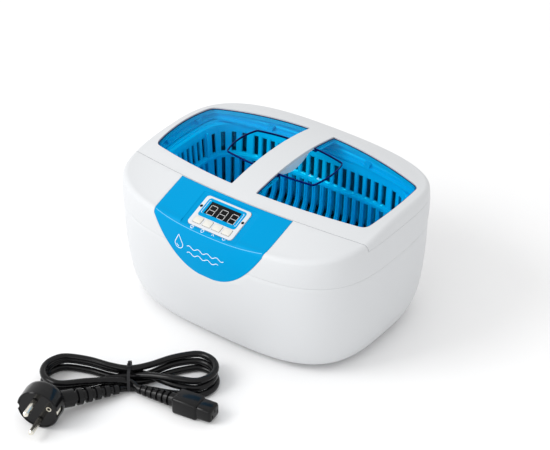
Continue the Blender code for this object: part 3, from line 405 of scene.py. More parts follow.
def make_materials():
    return {
        "white": surface("casing_white", (0.618, 0.63, 0.644), (0.603, 0.615, 0.628), 0.4, bump=0.05,
                         grain=1500.0, specular=0.16),
        # Painted light: the keel under the grip is the casing's white plastic, made lighter to make up for
        # the shade it sits in inside the finger hole.
        "keel": surface("keel_white", (0.8, 0.83, 0.86), (0.78, 0.81, 0.84), 0.36, bump=0.04),
        "bezel": surface("bezel_white", (0.62, 0.64, 0.67), (0.6, 0.62, 0.65), 0.32, bump=0.03),
        "blue": surface("panel_blue", (0.0, 0.28, 0.575), (0.0, 0.268, 0.555), 0.34, grain=1800.0,
                        bump=0.03, specular=0.03),
        "tint": clear_tint("window_tint", (0.16, 0.93, 0.99), (0.14, 0.915, 0.985), 0.04),
        "tint_edge": surface("window_tint_edge", (0.0, 0.014, 0.13), (0.0, 0.01, 0.1), 0.12, bump=0.02,
                             specular=0.12),
        "skirt": surface("skirt_blue", (0.0, 0.52, 0.82), (0.0, 0.49, 0.79), 0.3, grain=240.0, bump=0.04),
        # Painted light: opaque lighter blue on the clear pane's side walls, standing in for light that
        # comes through them into the shaded gap.
        "side_painted_light": surface("window_side_painted_light", (0.0, 0.62, 0.86), (0.0, 0.59, 0.83), 0.2, bump=0.03),
        "basket": surface("basket_blue", (0.0, 0.63, 0.95), (0.0, 0.6, 0.92), 0.14, grain=240.0, bump=0.05,
                          coat=0.4),
        # Painted highlight: pale blue for the thin line of light along the panel's crease.
        "crease_highlight": surface("crease_painted_highlight", (0.13, 0.52, 0.8), (0.12, 0.5, 0.78), 0.3),
        "cream": surface("button_cream", (0.66, 0.65, 0.6), (0.64, 0.63, 0.58), 0.42, bump=0.05),
        "display": surface("display_black", (0.003, 0.003, 0.004), (0.005, 0.005, 0.006), 0.1, bump=0.01,
                           specular=0.1),
        "segment": surface("segment_grey", (0.52, 0.53, 0.53), (0.46, 0.47, 0.47), 0.5),
        "print": surface("print_white", (0.84, 0.88, 0.92), (0.8, 0.84, 0.88), 0.45),
        "black": surface("black_plastic", (0.012, 0.012, 0.014), (0.018, 0.018, 0.02), 0.42, bump=0.12,
                         specular=0.22),
        "rubber": surface("black_rubber", (0.003, 0.003, 0.0034), (0.005, 0.005, 0.0055), 0.16, grain=700.0,
                          bump=0.06, spread=0.05, specular=0.22),
        "steel": surface("stainless_steel", (0.42, 0.43, 0.45), (0.37, 0.38, 0.4), 0.2, 1.0, 60.0, 0.04,
                         0.09, stretch=(1, 1, 30)),
        "pin": surface("pin_metal", (0.8, 0.77, 0.68), (0.74, 0.71, 0.63), 0.22, 1.0, 400.0, 0.03),
        "aluminium": surface("aluminium", (0.72, 0.73, 0.75), (0.66, 0.67, 0.69), 0.34, 1.0, 500.0, 0.08,
                             stretch=(1, 1, 8)),
        "ceramic": surface("piezo_ceramic", (0.6, 0.54, 0.42), (0.54, 0.48, 0.37), 0.62, grain=500.0,
                           bump=0.15),
        "silicone": surface("silicone", (0.72, 0.72, 0.71), (0.66, 0.66, 0.65), 0.52, bump=0.1),
        "board": surface("board_green", (0.02, 0.19, 0.07), (0.03, 0.24, 0.1), 0.36, grain=300.0, bump=0.05,
                         drift=120.0),
    }


LOOK = make_materials()


def piece(item, look, body, slot, *nodes):
    """Give a new piece its material and its body, and hide the CAD nodes that it stands for; slot is not
    used.
    """
    item.data.materials.clear()
    item.data.materials.append(LOOK[look])
    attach(item, body)
    if nodes:
        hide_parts(*nodes)
    return item


# ---- surfaces of the casing ----
def superellipse(angle, half_x, half_y, power, centre_y=0.0):
    cosine = cos(angle)
    sine = sin(angle)
    x = half_x * copysign(abs(cosine) ** (2 / power), cosine)
    y = half_y * copysign(abs(sine) ** (2 / power), sine)
    return x, centre_y + y


ANGLES = [tau * k / SEGMENTS for k in range(SEGMENTS)]


def half_length(z):
    if z >= SEAM_Z:
        return HALF_LENGTH - UPPER_LEAN * (z - SEAM_Z) ** 2
    tuck = TUCK * exp(-(z - BASE_Z) / TUCK_HEIGHT)
    return HALF_LENGTH - LOWER_BULGE * (SEAM_Z - z) ** 2 - tuck


def half_depth(z):
    return half_length(z) - DEPTH_CUT + FRONT_FULL * exp(-(z - BASE_Z) / FRONT_FULL_HEIGHT)


def plan_power(z, rear):
    share = min(max((z - SEAM_Z) / (CROWN_Z - 0.0135 - SEAM_Z), 0.0), 1.0)
    return PLAN_POWER + share * (REAR_SQUARE if rear else FRONT_SQUARE)


def casing_point(angle, z, inset):
    power = plan_power(z, sin(angle) > 0)
    return superellipse(angle, half_length(z) - inset, half_depth(z) - inset, power)


def casing_ring(z, inset=0.0):
    return [Vector((*casing_point(angle, z, inset), z)) for angle in ANGLES]


def crown(x, y):
    return CROWN_Z - CROWN_X_CURVE * x * x - CROWN_Y_CURVE * (y - CROWN_Y) ** 2


def lid_front(x):
    return LID_FRONT + LID_FRONT_CURVE * x * x


def front_deck(x, y):
    seam_y = lid_front(x)
    slope = max(SLOPE_MIDDLE - SLOPE_FADE * x * x, 0.04)
    return crown(x, seam_y) - slope * (seam_y - y)


def domed_solid(name, top, bottom_z, inset):
    """The casing's outer form above bottom_z, closed by a top surface with a round shoulder."""
    radius = SHOULDER - inset
    rings = []
    for degrees in range(0, 91, 10):
        turn = radians(degrees)
        ring = []
        for angle in ANGLES:
            edge_x, edge_y = casing_point(angle, SHOULDER_Z, SHOULDER)
            level = top(edge_x, edge_y) - inset - radius + radius * sin(turn)
            x, y = casing_point(angle, level, inset + radius * (1 - cos(turn)))
            ring.append(Vector((x, y, level)))
        rings.append(ring)
    edge = rings[-1]
    for share in (0.96, 0.91, 0.85, 0.78, 0.7, 0.62, 0.53, 0.44, 0.34, 0.23, 0.12, 0.04):
        spots = [(point.x * share, point.y * share) for point in edge]
        rings.append([Vector((x, y, top(x, y) - inset)) for x, y in spots])
    wall = []
    for share in (0.0, 0.25, 0.5, 0.75):
        ring = []
        for high, angle in zip(rings[0], ANGLES):
            level = bottom_z + (high.z - bottom_z) * share
            ring.append(Vector((*casing_point(angle, level, inset), level)))
        wall.append(ring)
    return loft(name, wall + rings)


def lid_block(name, offset, z_low):
    """Block behind the lid's front seam and above z_low."""
    half = 0.16
    outline = [(half * share, lid_front(half * share) + offset) for share in spread(-1, 1, 96)]
    return prism(name, [*outline, (half, 0.14), (-half, 0.14)], z_low, 0.2)


def tank_ring(half_x, half_y, z):
    return [Vector((*superellipse(angle, half_x, half_y, TANK_POWER, CROWN_Y), z)) for angle in ANGLES]


# ---- control panel skin ----
def front_wall_y(x, z, inset=0.0):
    share = min(abs(x) / (half_length(z) - inset), 1.0)
    power = plan_power(z, False)
    return -(half_depth(z) - inset) * (1 - share ** power) ** (1 / power)


def panel_point(across, along):
    """Point of the front surface under the panel.

    along runs from 0 at the lid seam to 1 at the shoulder, 2 at the shoulder's foot and 3 at the tip.
    """
    x = PANEL_HALF * across
    edge_y = front_wall_y(x, SHOULDER_Z, SHOULDER)
    if along <= 1:
        x *= 1 - PANEL_EASE * along ** 5
        seam_y = lid_front(x) - 0.0006
        y = seam_y + (edge_y - seam_y) * along
        return Vector((x, y, front_deck(x, y)))
    start_z = front_deck(x, edge_y) - SHOULDER
    if along <= 2:
        turn = pi / 2 * (2 - along)
        z = start_z + SHOULDER * sin(turn)
        x *= 1 - PANEL_EASE - (1 - PANEL_EASE - PANEL_FOOT) * (along - 1)
        return Vector((x, front_wall_y(x, z, SHOULDER * (1 - cos(turn))), z))
    share = sin(pi / 2 * (along - 2))
    tip_z = PANEL_TIP_Z + 0.0004
    level = (start_z - tip_z) * (1 - share)
    width = (max(level + 0.0004, 0.0004) / (start_z - tip_z + 0.0004)) ** PANEL_TAPER
    x = across * PANEL_HALF * PANEL_FOOT * width
    z = tip_z + level
    return Vector((x, front_wall_y(x, z), z))


def panel_skin(name, inner, outer, grow):
    """A skin on the casing's front from depth inner to height outer, grow wider all round."""
    columns = 56
    alongs = [k / 12 for k in range(13)]
    alongs += [1 + k / 8 for k in range(1, 9)]
    alongs += [2 + k / 36 for k in range(1, 37)]
    points = [[panel_point(2 * c / columns - 1, along) for c in range(columns + 1)] for along in alongs]
    last = len(points) - 1
    grid = []
    for r, row in enumerate(points):
        line = []
        for c, point in enumerate(row):
            side = row[min(c + 1, columns)] - row[max(c - 1, 0)]
            down = points[min(r + 1, last)][c] - points[max(r - 1, 0)][c]
            normal = down.cross(side).normalized()
            base = point.copy()
            if c in (0, columns):
                base += side.normalized() * (grow if c else -grow)
            if r in (0, last):
                base += down.normalized() * (grow if r else -grow)
            line.append((base + normal * outer, base - normal * inner))
        grid.append(line)
    return slab(name, grid)


# ---- casings ----
def make_lower_casing():
    low = BASE_Z + FOOT_ROUND
    high = SEAM_Z - SEAM_GAP
    rings = []
    for degrees in range(0, 91, 15):
        turn = radians(degrees)
        level = BASE_Z + FOOT_ROUND * (1 - cos(turn))
        rings.append(casing_ring(level, FOOT_ROUND * (1 - sin(turn))))
    rings += [casing_ring(low + (high - low) * k / 16) for k in range(1, 17)]
    rings += [casing_ring(z, WALL) for z in (high, 0.06, 0.026, 0.012)]
    ledge = BASE_Z + 0.0025
    rings += [casing_ring(z, inset) for z, inset in ((ledge, 0.009), (ledge, 0.016), (BASE_Z, 0.016))]
    casing = loft("lower_casing_shell", rings, closed=True)
    combine(casing, panel_skin("pocket_lower", PANEL_THICK + GAP, 0.003, GAP))
    low_inlet, high_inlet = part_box("inlet_socket")
    size = (high_inlet.x - low_inlet.x + 2 * GAP, 0.03, high_inlet.z - low_inlet.z + 2 * GAP)
    combine(casing, box("inlet_hole", size, (low_inlet + high_inlet) / 2))
    soften(casing, 0.0003)
    piece(casing, "white", "base", "casing_white", "lower_casing")


def make_upper_casing():
    casing = domed_solid("upper_casing_shell", front_deck, SEAM_Z + SEAM_GAP, 0.0)
    combine(casing, lid_block("lid_seat", 0.0, LIP_Z))
    cavity = domed_solid("upper_cavity", front_deck, SEAM_Z - 0.01, WALL)
    combine(cavity, lid_block("under_deck", -WALL, DECK_Z - WALL))
    combine(casing, cavity)
    pocket = domed_solid("deck_pocket", front_deck, DECK_Z, WALL + 0.001)
    combine(pocket, lid_block("deck_edge", 0.0, DECK_Z - 0.01), "INTERSECT")
    combine(casing, pocket)
    combine(casing, loft("tank_opening", [tank_ring(0.116, 0.062, z) for z in (0.1, 0.13)]))
    combine(casing, panel_skin("pocket_upper", PANEL_THICK + GAP, 0.003, GAP))
    opening = (BEZEL[0] + 2 * GAP, BEZEL[1] + 2 * GAP, 0.03)
    combine(casing, box("control_opening", opening, matrix=control_frame()))
    soften(casing, 0.0003)
    piece(casing, "white", "base", "casing_white", "upper_casing")


# ---- control group ----
def control_frame(u=0.0, v=0.0, w=0.0):
    """Matrix on the slope: X across, Y up the slope, Z out of the panel."""
    return at(CONTROL_X, CONTROL_Y, CONTROL_Z) @ Matrix.Rotation(CONTROL_TILT, 4, "X") @ at(u, v, w)


def slope_block(name, size, radius, low=-0.01, high=0.01, u=0.0, v=0.0, steps=8, grow=0.0):
    """Block with rounded corners, square to the slope, between two heights over it."""
    outline = rounded_rectangle(size[0] / 2 + grow, size[1] / 2 + grow, radius, steps)
    return prism(name, outline, low, high, control_frame(u, v))


def make_control_panel():
    panel = panel_skin("control_panel_skin", PANEL_THICK, 0.0, 0.0)
    combine(panel, slope_block("bezel_hole", BEZEL, 0.0033, grow=GAP))
    combine(panel, slope_block("panel_recess", RECESS, 0.0015, RECESS_FLOOR))
    soften(panel, 0.00025)
    piece(panel, "blue", "base", "panel_blue", "control_panel")


def make_crease_highlight():
    """Fine pale bead where the sloping part of the panel meets its front: a painted highlight for the light
    line along the crease.
    """
    turns = [tau * k / 8 for k in range(8)]
    section = [Vector((0, 0.00022 * cos(t) - 0.0001, 0.00034 * sin(t))) for t in turns]
    rings = []
    for share in spread(-1, 1, 60):
        across = CREASE_HALF * share
        spot = panel_point(across, CREASE_AT - CREASE_RISE * across ** 2)
        rings.append([spot + point for point in section])
    piece(loft("panel_crease_highlight", rings), "crease_highlight", "base", "panel_blue")


def button_u(k):
    return BUTTON_PITCH * (k - 1.5)


def cut_buttons(item):
    """Cut the holes that the four buttons come through."""
    for k in range(4):
        combine(item, slope_block(f"button_hole_{k}", BUTTON, 0.0009, u=button_u(k), v=BUTTON_V, steps=4,
                                  grow=GAP))


def make_bezel():
    top = BEZEL_TOP
    bezel = slope_block("control_bezel_frame", BEZEL, 0.0032, top - 0.003, top)
    combine(bezel, slope_block("lens_hole", WINDOW, 0.0004, v=WINDOW_V, steps=2, grow=GAP))
    cut_buttons(bezel)
    soften(bezel, 0.00035)
    piece(bezel, "bezel", "base", "casing_white", "control_bezel")
    plate = slope_block("display_plate", PLATE, 0.0026, top - 0.0006, top + 0.00012, v=PLATE_V)
    cut_buttons(plate)
    combine(plate, slope_block("plate_hole", WINDOW, 0.0004, v=WINDOW_V, steps=2))
    piece(plate, "blue", "base", "panel_blue")
    dot = [(0.0014, top - 0.0006), (0.0014, top + 0.0001), (0.0011, top + 0.0002)]
    dots = [turned(f"dot_{side}", dot, 24, control_frame(side * 0.0224, 0.0037)) for side in (-1, 1)]
    piece(joined("bezel_screws", dots), "display", "base", "black_plastic")
    brackets = []
    for side in (-1, 1):
        for v, long_u, long_v, shift in ((0.0048, 0.0003, 0.0136, 0), (0.0116, 0.0014, 0.0003, 0.0006),
                                         (-0.002, 0.0014, 0.0003, 0.0006)):
            brackets.append(box(f"bracket_{side}_{v}", (long_u, long_v, 0.0001), (0, 0, top + 0.00015),
                                control_frame(side * (0.0186 - shift), v)))
    piece(joined("display_brackets", brackets), "print", "base", "casing_white")


def make_display():
    """Lens, and three plain seven-segment figures on it."""
    lens = box("display_lens_glass", (*WINDOW, 0.0016), (0, 0, 0.0002), control_frame(0, WINDOW_V),
               0.0002, 2)
    piece(lens, "display", "base", "display_black", "display_lens")
    half_w, half_h = DIGIT
    strokes = []
    for digit in range(3):
        middle = DIGIT_PITCH * digit - 0.0106
        places = [(0, 2), (0, 0), (0, -2), (-1, 1), (1, 1), (-1, -1), (1, -1)]
        for part, (across, up) in enumerate(places):
            size = (SEGMENT, 2 * half_h - 0.0007) if across else (2 * half_w - 0.0007, SEGMENT)
            spot = control_frame(middle + across * half_w, WINDOW_V - 0.0015 + up * half_h)
            strokes.append(box(f"segment_{digit}_{part}", (*size, 0.0001), (0, 0, 0.001), spot))
    piece(joined("display_segments", strokes), "segment", "base", "display_black")


def make_buttons():
    for k in range(4):
        name = f"button_{k + 1}"
        cap = slope_block(f"button_cap_{k + 1}", BUTTON, 0.0008, -0.0016, 0.0018, button_u(k), BUTTON_V, 4)
        soften(cap, 0.0003)
        piece(cap, "cream", name, "button_cream", name)


# ---- printed signs ----
def stroke(name, points, width, place, closed=False):
    """A thin raised line through flat points, laid on a surface by place(x, y, lift)."""
    count = len(points)
    rings = []
    for index, point in enumerate(points):
        before = points[index - 1] if closed or index else point
        after = points[(index + 1) % count] if closed or index < count - 1 else point
        across = (after - before).normalized().orthogonal() * width / 2
        corners = ((1, SIGN_TOP), (-1, SIGN_TOP), (-1, SIGN_FOOT), (1, SIGN_FOOT))
        rings.append([place(*(point + across * side), lift) for side, lift in corners])
    return loft(name, rings, closed)


def on_slope(u, v, lift):
    """Point on the panel's recess, below the bezel."""
    return control_frame() @ Vector((u, v, RECESS_FLOOR + lift))


def on_front(x, z, lift):
    """Point on the tongue of the panel."""
    return Vector((x, front_wall_y(x, z) - lift, z))


def arc(centre_x, centre_y, radius, start, end, steps=20):
    turns = [radians(degrees) for degrees in spread(start, end, steps)]
    return [Vector((centre_x + radius * cos(t), centre_y + radius * sin(t))) for t in turns]


def make_signs():
    """A plain symbol under each button, and a droplet with two waves on the panel's front."""
    signs = []

    def sign(name, points, closed=False, width=0.0005, place=on_slope):
        signs.append(stroke("sign_" + name, points, width, place, closed))

    v = -0.0181
    power_u, ring_u, up_u, down_u = (SIGN_PITCH * (k - 1.5) for k in range(4))
    sign("power_ring", arc(power_u, v, 0.0014, 120, 420))
    sign("power_bar", [Vector((power_u, v)), Vector((power_u, v + 0.0017))])
    sign("ring", arc(ring_u, v, 0.0014, 0, 342), True)
    for name, u, ends, middle in (("up", up_u, -0.0009, 0.001), ("down", down_u, 0.001, -0.0009)):
        sign(name, [Vector((u + x, v + y)) for x, y in ((-0.0016, ends), (0, middle), (0.0016, ends))])
    drop_x, drop_z = DROP_AT
    drop = arc(drop_x, drop_z, 0.0043, 150, 390, 28)
    tip = Vector((drop_x, drop_z + 0.0096))
    left, right = drop[0], drop[-1]
    drop += [right.lerp(tip, share) for share in (0.35, 0.7)]
    drop += [tip, *(tip.lerp(left, share) for share in (0.3, 0.65))]
    sign("drop", drop, True, 0.00055, on_front)
    sign("drop_glint", arc(drop_x, drop_z, 0.0024, 190, 270, 10), False, 0.0006, on_front)
    for k, (z, length) in enumerate(((0.1005, 0.04), (0.094, 0.034))):
        waves = [WAVE_HEIGHT * sin(share * tau * length / WAVE_LENGTH) for share in spread(0, 1, 60)]
        wave = [Vector((length * share - 0.02, z + up)) for share, up in zip(spread(0, 1, 60), waves)]
        sign(f"wave_{k}", wave, False, 0.00055, on_front)
    piece(joined("panel_signs", signs), "print", "base", "casing_white")


# ---- tank and basket ----
def make_tank():
    half_x, half_y = 0.1135, 0.0595
    top = FLANGE_HIGH.z
    sheet = 0.001
    floor = TANK_FLOOR_Z
    inner = [(0.0, 0.0, top), (0.0004, 0.0004, top - 0.003), (0.0022, 0.0022, floor + 0.012),
             (0.003, 0.003, floor + 0.008), (0.005, 0.005, floor + 0.0042),
             (0.0085, 0.0085, floor + 0.0016), (0.015, 0.015, floor), (0.05, 0.056, floor)]
    outer = [(0.05, 0.056, floor - sheet), (0.015, 0.015, floor - sheet),
             (0.0052, 0.0052, floor + 0.003), (0.0012, 0.0012, floor + 0.012),
             (-sheet, -sheet, top - sheet)]
    flange = [(-0.0055, -0.0055, top - sheet), (-0.0055, -0.0055, top)]
    rings = [tank_ring(half_x - dx, half_y - dy, z) for dx, dy, z in outer + flange + inner]
    piece(loft("tank_shell", rings), "steel", "base", "stainless_steel", "tank")


LONG_PITCH = 0.009  # from slot to slot on the long walls
LONG_SLOT = 0.0049
LONG_COUNT = 19
END_PITCH = 0.0074  # from slot to slot on the end walls
END_SLOT = 0.0038
END_COUNT = 6
OUTER_NUDGE = 0.003  # how much further out the last slot of a long wall is
# Columns round a corner: the direction from the corner's middle in degrees, and what comes next.
CORNER = [(7, "bar"), (15, "bar"), (23, "slot"), (28, "slot"), (33, "bar"), (40, "bar"), (47, "slot"),
          (52, "slot"), (57, "bar"), (63, "bar"), (70, "slot"), (75, "slot"), (80, "bar"), (85, "bar")]
FLAT_HALF = 0.0938  # below this half length the floor is flat
RIB = 0.0008  # how far a bar's rib stands inwards
CHAMFER = 0.0006  # how far a bar's inner edges fall back


def wall_columns(pitch, width, count, nudge):
    """Columns along a wall: the distance from its middle, what comes next, and the reach inwards."""
    columns = []
    room = pitch - width
    for k in range(count):
        middle = pitch * (k - (count - 1) / 2)
        if k in (0, count - 1):
            middle += copysign(nudge, middle)
        right = middle + width / 2
        columns += [(middle - width / 2, "slot", -CHAMFER), (middle, "slot", 0.0), (right, "bar", -CHAMFER)]
        columns += [(right + room * share, "bar", reach) for share, reach in
                    ((0.16, 0.0), (0.34, 0.0), (0.44, RIB), (0.56, RIB), (0.66, 0.0), (0.84, 0.0))]
    return columns[:-6]


LONG_COLUMNS = wall_columns(LONG_PITCH, LONG_SLOT, LONG_COUNT, OUTER_NUDGE)
END_COLUMNS = wall_columns(END_PITCH, END_SLOT, END_COUNT, 0.0)


def reversed_corner():
    """The corner's columns walked the other way, from a long wall to an end wall."""
    directions = [degrees for degrees, _ in reversed(CORNER)]
    kinds = [kind for _, kind in reversed(CORNER[:-1])]
    return list(zip(directions, [*kinds, "bar"]))


def basket_columns():
    """All the columns of the basket's wall in order round it."""
    columns = []
    for side in range(4):
        lengthwise = side % 2 == 1
        columns += [(side, *column) for column in (LONG_COLUMNS if lengthwise else END_COLUMNS)]
        corner = reversed_corner() if lengthwise else CORNER
        columns += [(side + 0.5, degrees, kind, 0.0) for degrees, kind in corner]
    return columns


def wall_place(side, distance, half):
    """Plan position on one wall: side 0 is the right end, 1 the rear, 2 the left end, 3 the front."""
    half_y = half - BASKET_DEPTH_CUT
    lengthwise = side % 2 == 1
    along, across = (half, half_y) if lengthwise else (half_y, half)
    reach = across * (1 - (abs(distance) / along) ** TANK_POWER) ** (1 / TANK_POWER)
    turn = 1 if side < 2 else -1
    return Vector((-distance, reach) if lengthwise else (reach, distance)) * turn


def corner_place(side, degrees, half):
    """Plan position in a direction from the middle of the corner after a wall, 0 being along the end."""
    half_y = half - BASKET_DEPTH_CUT
    middle_x = LONG_COLUMNS[-1][0]
    middle_y = END_COLUMNS[-1][0]
    cosine = cos(radians(degrees))
    sine = sin(radians(degrees))
    low = 0.0
    high = half
    for _ in range(40):
        reach = (low + high) / 2
        x = middle_x + reach * cosine
        y = middle_y + reach * sine
        if (x / half) ** TANK_POWER + (y / half_y) ** TANK_POWER < 1:
            low = reach
        else:
            high = reach
    sign_x, sign_y = QUARTERS[side]
    return Vector((sign_x * x, sign_y * y))


def basket_ring(columns, half, z, ribbed, slotted):
    """One ring of the basket's wall, with the bars' ribs and chamfers if it has them."""
    used = max(half, FLAT_HALF)
    shrink = half / used
    shrink_y = (half - BASKET_DEPTH_CUT) / (used - BASKET_DEPTH_CUT)
    ring = []
    for side, distance, _, reach in columns:
        if side == int(side):
            spot = wall_place(side, distance, used)
            if (reach > 0 and ribbed) or (reach < 0 and slotted):
                spot += Vector(((-1, 0), (0, -1), (1, 0), (0, 1))[side]) * reach
        else:
            spot = corner_place(int(side), distance, used)
        ring.append(Vector((spot.x * shrink, CROWN_Y + spot.y * shrink_y, z)))
    return ring


def make_basket():
    """Moulded basket: a stepped rim, two tiers of slots and a rounded foot."""
    rim = RIM_HIGH.z
    floor = RIM_LOW.z
    inner_floor = floor + 0.002
    # Rows down the wall: half length and height of the outside, then of the inside.
    rows = [(outside, rim - drop, inside, rim - inner_drop) for outside, drop, inside, inner_drop in (
        (0.116, 0.0018, 0.116, 0.0002), (0.115, 0.0018, 0.1156, 0.0), (0.1106, 0.0018, 0.1122, 0.0),
        (0.1105, 0.0022, 0.1118, 0.0004), (0.1104, 0.003, 0.1116, 0.0016), (0.1103, 0.0038, 0.1104, 0.0019),
        (0.1103, 0.0046, 0.1089, 0.0022), (0.1102, 0.0056, 0.1084, 0.003))]
    rows += [
        (0.1101, 0.1135, 0.1081, 0.1135), (0.11, 0.112, 0.108, 0.112), (0.1095, 0.102, 0.1075, 0.102),
        (0.1088, 0.0915, 0.1068, 0.0915), (0.1086, 0.09, 0.1064, 0.0906), (0.1085, 0.0888, 0.1048, 0.0901),
        (0.1084, 0.0878, 0.1044, 0.0894), (0.1083, 0.0866, 0.1044, 0.0866), (0.1076, 0.074, 0.104, 0.074),
        (0.107, 0.0655, 0.1034, 0.0655), (0.1058, 0.0604, 0.1022, 0.0612), (0.1036, 0.056, 0.1004, 0.0574),
        (0.1006, 0.0525, 0.098, 0.0543), (0.0974, 0.0506, 0.096, 0.0526),
        (0.094, floor, 0.0938, inner_floor), (0.089, floor, 0.089, inner_floor),
        (0.062, floor, 0.062, inner_floor)]
    slotted = {9, 10, *range(15, 23)}
    columns = basket_columns()
    count = len(columns)
    bm = bmesh.new()
    outer, inner = [], []
    for index, (outside, outer_z, inside, inner_z) in enumerate(rows):
        has_slots = index in slotted or index - 1 in slotted
        rings = (basket_ring(columns, outside, outer_z, False, False),
                 basket_ring(columns, inside, inner_z, index in range(15, 22), has_slots))
        for side, ring in zip((outer, inner), rings):
            side.append([bm.verts.new(spot) for spot in ring])

    def is_open(r, c):
        return r in slotted and columns[c][2] == "slot"

    def bridge(row, column, next_row, next_column):
        """Face across the wall's thickness, from the outside to the inside."""
        bm.faces.new((outer[row][column], outer[next_row][next_column], inner[next_row][next_column],
                      inner[row][column]))

    for c in range(count):
        after = (c + 1) % count
        bridge(0, c, 0, after)
        for r in range(len(rows) - 1):
            if not is_open(r, c):
                for side in (outer, inner):
                    bm.faces.new((side[r][c], side[r][after], side[r + 1][after], side[r + 1][c]))
                continue
            for column, beyond in ((c, (c - 1) % count), (after, after)):
                if not is_open(r, beyond):
                    bridge(r, column, r + 1, column)
            for row, beyond in ((r, r - 1), (r + 1, r + 1)):
                if not is_open(beyond, c):
                    bridge(row, c, row, after)
    bm.faces.new(outer[-1])
    bm.faces.new(inner[-1])
    piece(add_mesh("basket_body", bm), "basket", "basket", "basket_blue", "basket")
    make_basket_details()


def make_basket_details():
    """Posts in the corners."""
    profile = [(0.0018, 0.064), (0.0018, 0.115), (0.0014, 0.1162), (0.0006, 0.1168)]
    posts = [turned(f"post_{x}_{y}", profile, 20, at(x * 0.1062, CROWN_Y + y * 0.0228, 0))
             for x in (-1, 1) for y in (-1, 1)]
    piece(joined("basket_posts", posts), "basket", "basket", "basket_blue")


# ---- lid ----
def window_edges(steps, inset=0.0, both=False):
    """Front, right, rear and left edges in plan of the right window, or of both windows together."""
    def right_x(y):
        return WINDOW_END_X - inset - WINDOW_END_CURVE * (y - CROWN_Y) ** 2

    def left_x(y):
        return -right_x(y) if both else WINDOW_INNER_X + inset

    front = [Vector((x, inset + WINDOW_FRONT_Y + WINDOW_FRONT_CURVE * x * x))
             for x in spread(left_x(WINDOW_FRONT), right_x(WINDOW_FRONT), steps)]
    rear = [Vector((x, WINDOW_REAR_Y - inset - WINDOW_REAR_CURVE * x * x))
            for x in spread(right_x(WINDOW_REAR), left_x(WINDOW_REAR), steps)]
    right = [Vector((right_x(y), y)) for y in spread(front[-1].y, rear[0].y, steps)]
    left = [Vector((left_x(y), y)) for y in spread(rear[-1].y, front[0].y, steps)]
    return [front, right, rear, left]


def window_outline(side, inset=0.0):
    """Plan outline of one lid window, with small corners at the bar and larger ones at the end."""
    outline = rounded_loop(window_edges(40, inset), [0.0062, 0.0062, 0.0012, 0.0012])
    return [(side * x, y) for x, y in outline]


def make_lid_frame():
    lid = domed_solid("lid_frame_shell", crown, LIP_Z - 0.01, 0.0)
    combine(lid, lid_block("lid_outside", 0.0005, LID_LOW.z), "INTERSECT")
    cavity = domed_solid("lid_cavity", crown, LIP_Z - 0.03, LID_WALL)
    combine(cavity, lid_block("lid_inside", 0.0005 + LID_WALL, LIP_Z - 0.02), "INTERSECT")
    combine(lid, cavity)
    for side in (1, -1):
        combine(lid, prism(f"window_{side}", window_outline(side), *LID_CUT))
    combine(lid, make_grip_belly(), "UNION")
    soften(lid, 0.0004)
    piece(lid, "white", "lid", "casing_white", "lid_frame")
    # The keel's faces under the bar get the lighter copy of the white: painted light in the shade of the
    # finger hole.
    lid.data.materials.append(LOOK["keel"])
    for face in lid.data.polygons:
        middle = face.center
        below = middle.z < crown(middle.x, middle.y) - LID_WALL - 0.0002
        if below and abs(middle.x) < WINDOW_INNER_X + 0.0003 and abs(middle.y - CROWN_Y) < GRIP_HALF:
            face.material_index = 1


def make_grip_belly():
    """Keel under the bar that the finger and thumb pinch."""
    waist = WINDOW_INNER_X - 0.0014
    foot = waist - 0.001
    rings = []
    for share in spread(-1, 1, 48):
        y = CROWN_Y + GRIP_HALF * share * 0.995
        depth = 0.0004 + (GRIP_DEPTH - LID_WALL) * (1 - share * share)
        top = crown(0, y) - LID_WALL + 0.0008
        low = crown(WINDOW_INNER_X, y) - LID_WALL - depth
        section = ((-waist, top), (-foot, low), (foot, low), (waist, top))
        rings.append([Vector((x, y, z)) for x, z in section])
    return loft("grip_belly", rings)


def grip_hole_outline():
    half_x, half_y = GRIP_HOLE
    bow_x, bow_y = GRIP_HOLE_BOW
    shares = spread(-1, 1, 36)
    front = [Vector((half_x * s, CROWN_Y - half_y - bow_y * (1 - s * s))) for s in shares]
    right = [Vector((half_x + bow_x * (1 - s * s), CROWN_Y + half_y * s)) for s in shares]
    rear = [Vector((-half_x * s, CROWN_Y + half_y + bow_y * (1 - s * s))) for s in shares]
    left = [Vector((-half_x - bow_x * (1 - s * s), CROWN_Y - half_y * s)) for s in shares]
    return rounded_loop([front, right, rear, left], [0.0016] * 4)


def sheet_solid(name, depth, thick):
    """A sheet that follows the crown at depth below it."""
    columns = 64
    rows = 32
    grid = []
    for r in range(rows + 1):
        share = r / rows
        half_x = 0.117 + 0.02 * share * (1 - share) - 0.004 * share
        line = []
        for c in range(columns + 1):
            x = half_x * (2 * c / columns - 1)
            front = -0.0485 + 1.45 * x * x
            rear = 0.0752 - 1.36 * x * x
            y = front + (rear - front) * share
            line.append([(x, y, crown(x, y) - level) for level in (depth, depth + thick)])
        grid.append(line)
    return slab(name, grid)


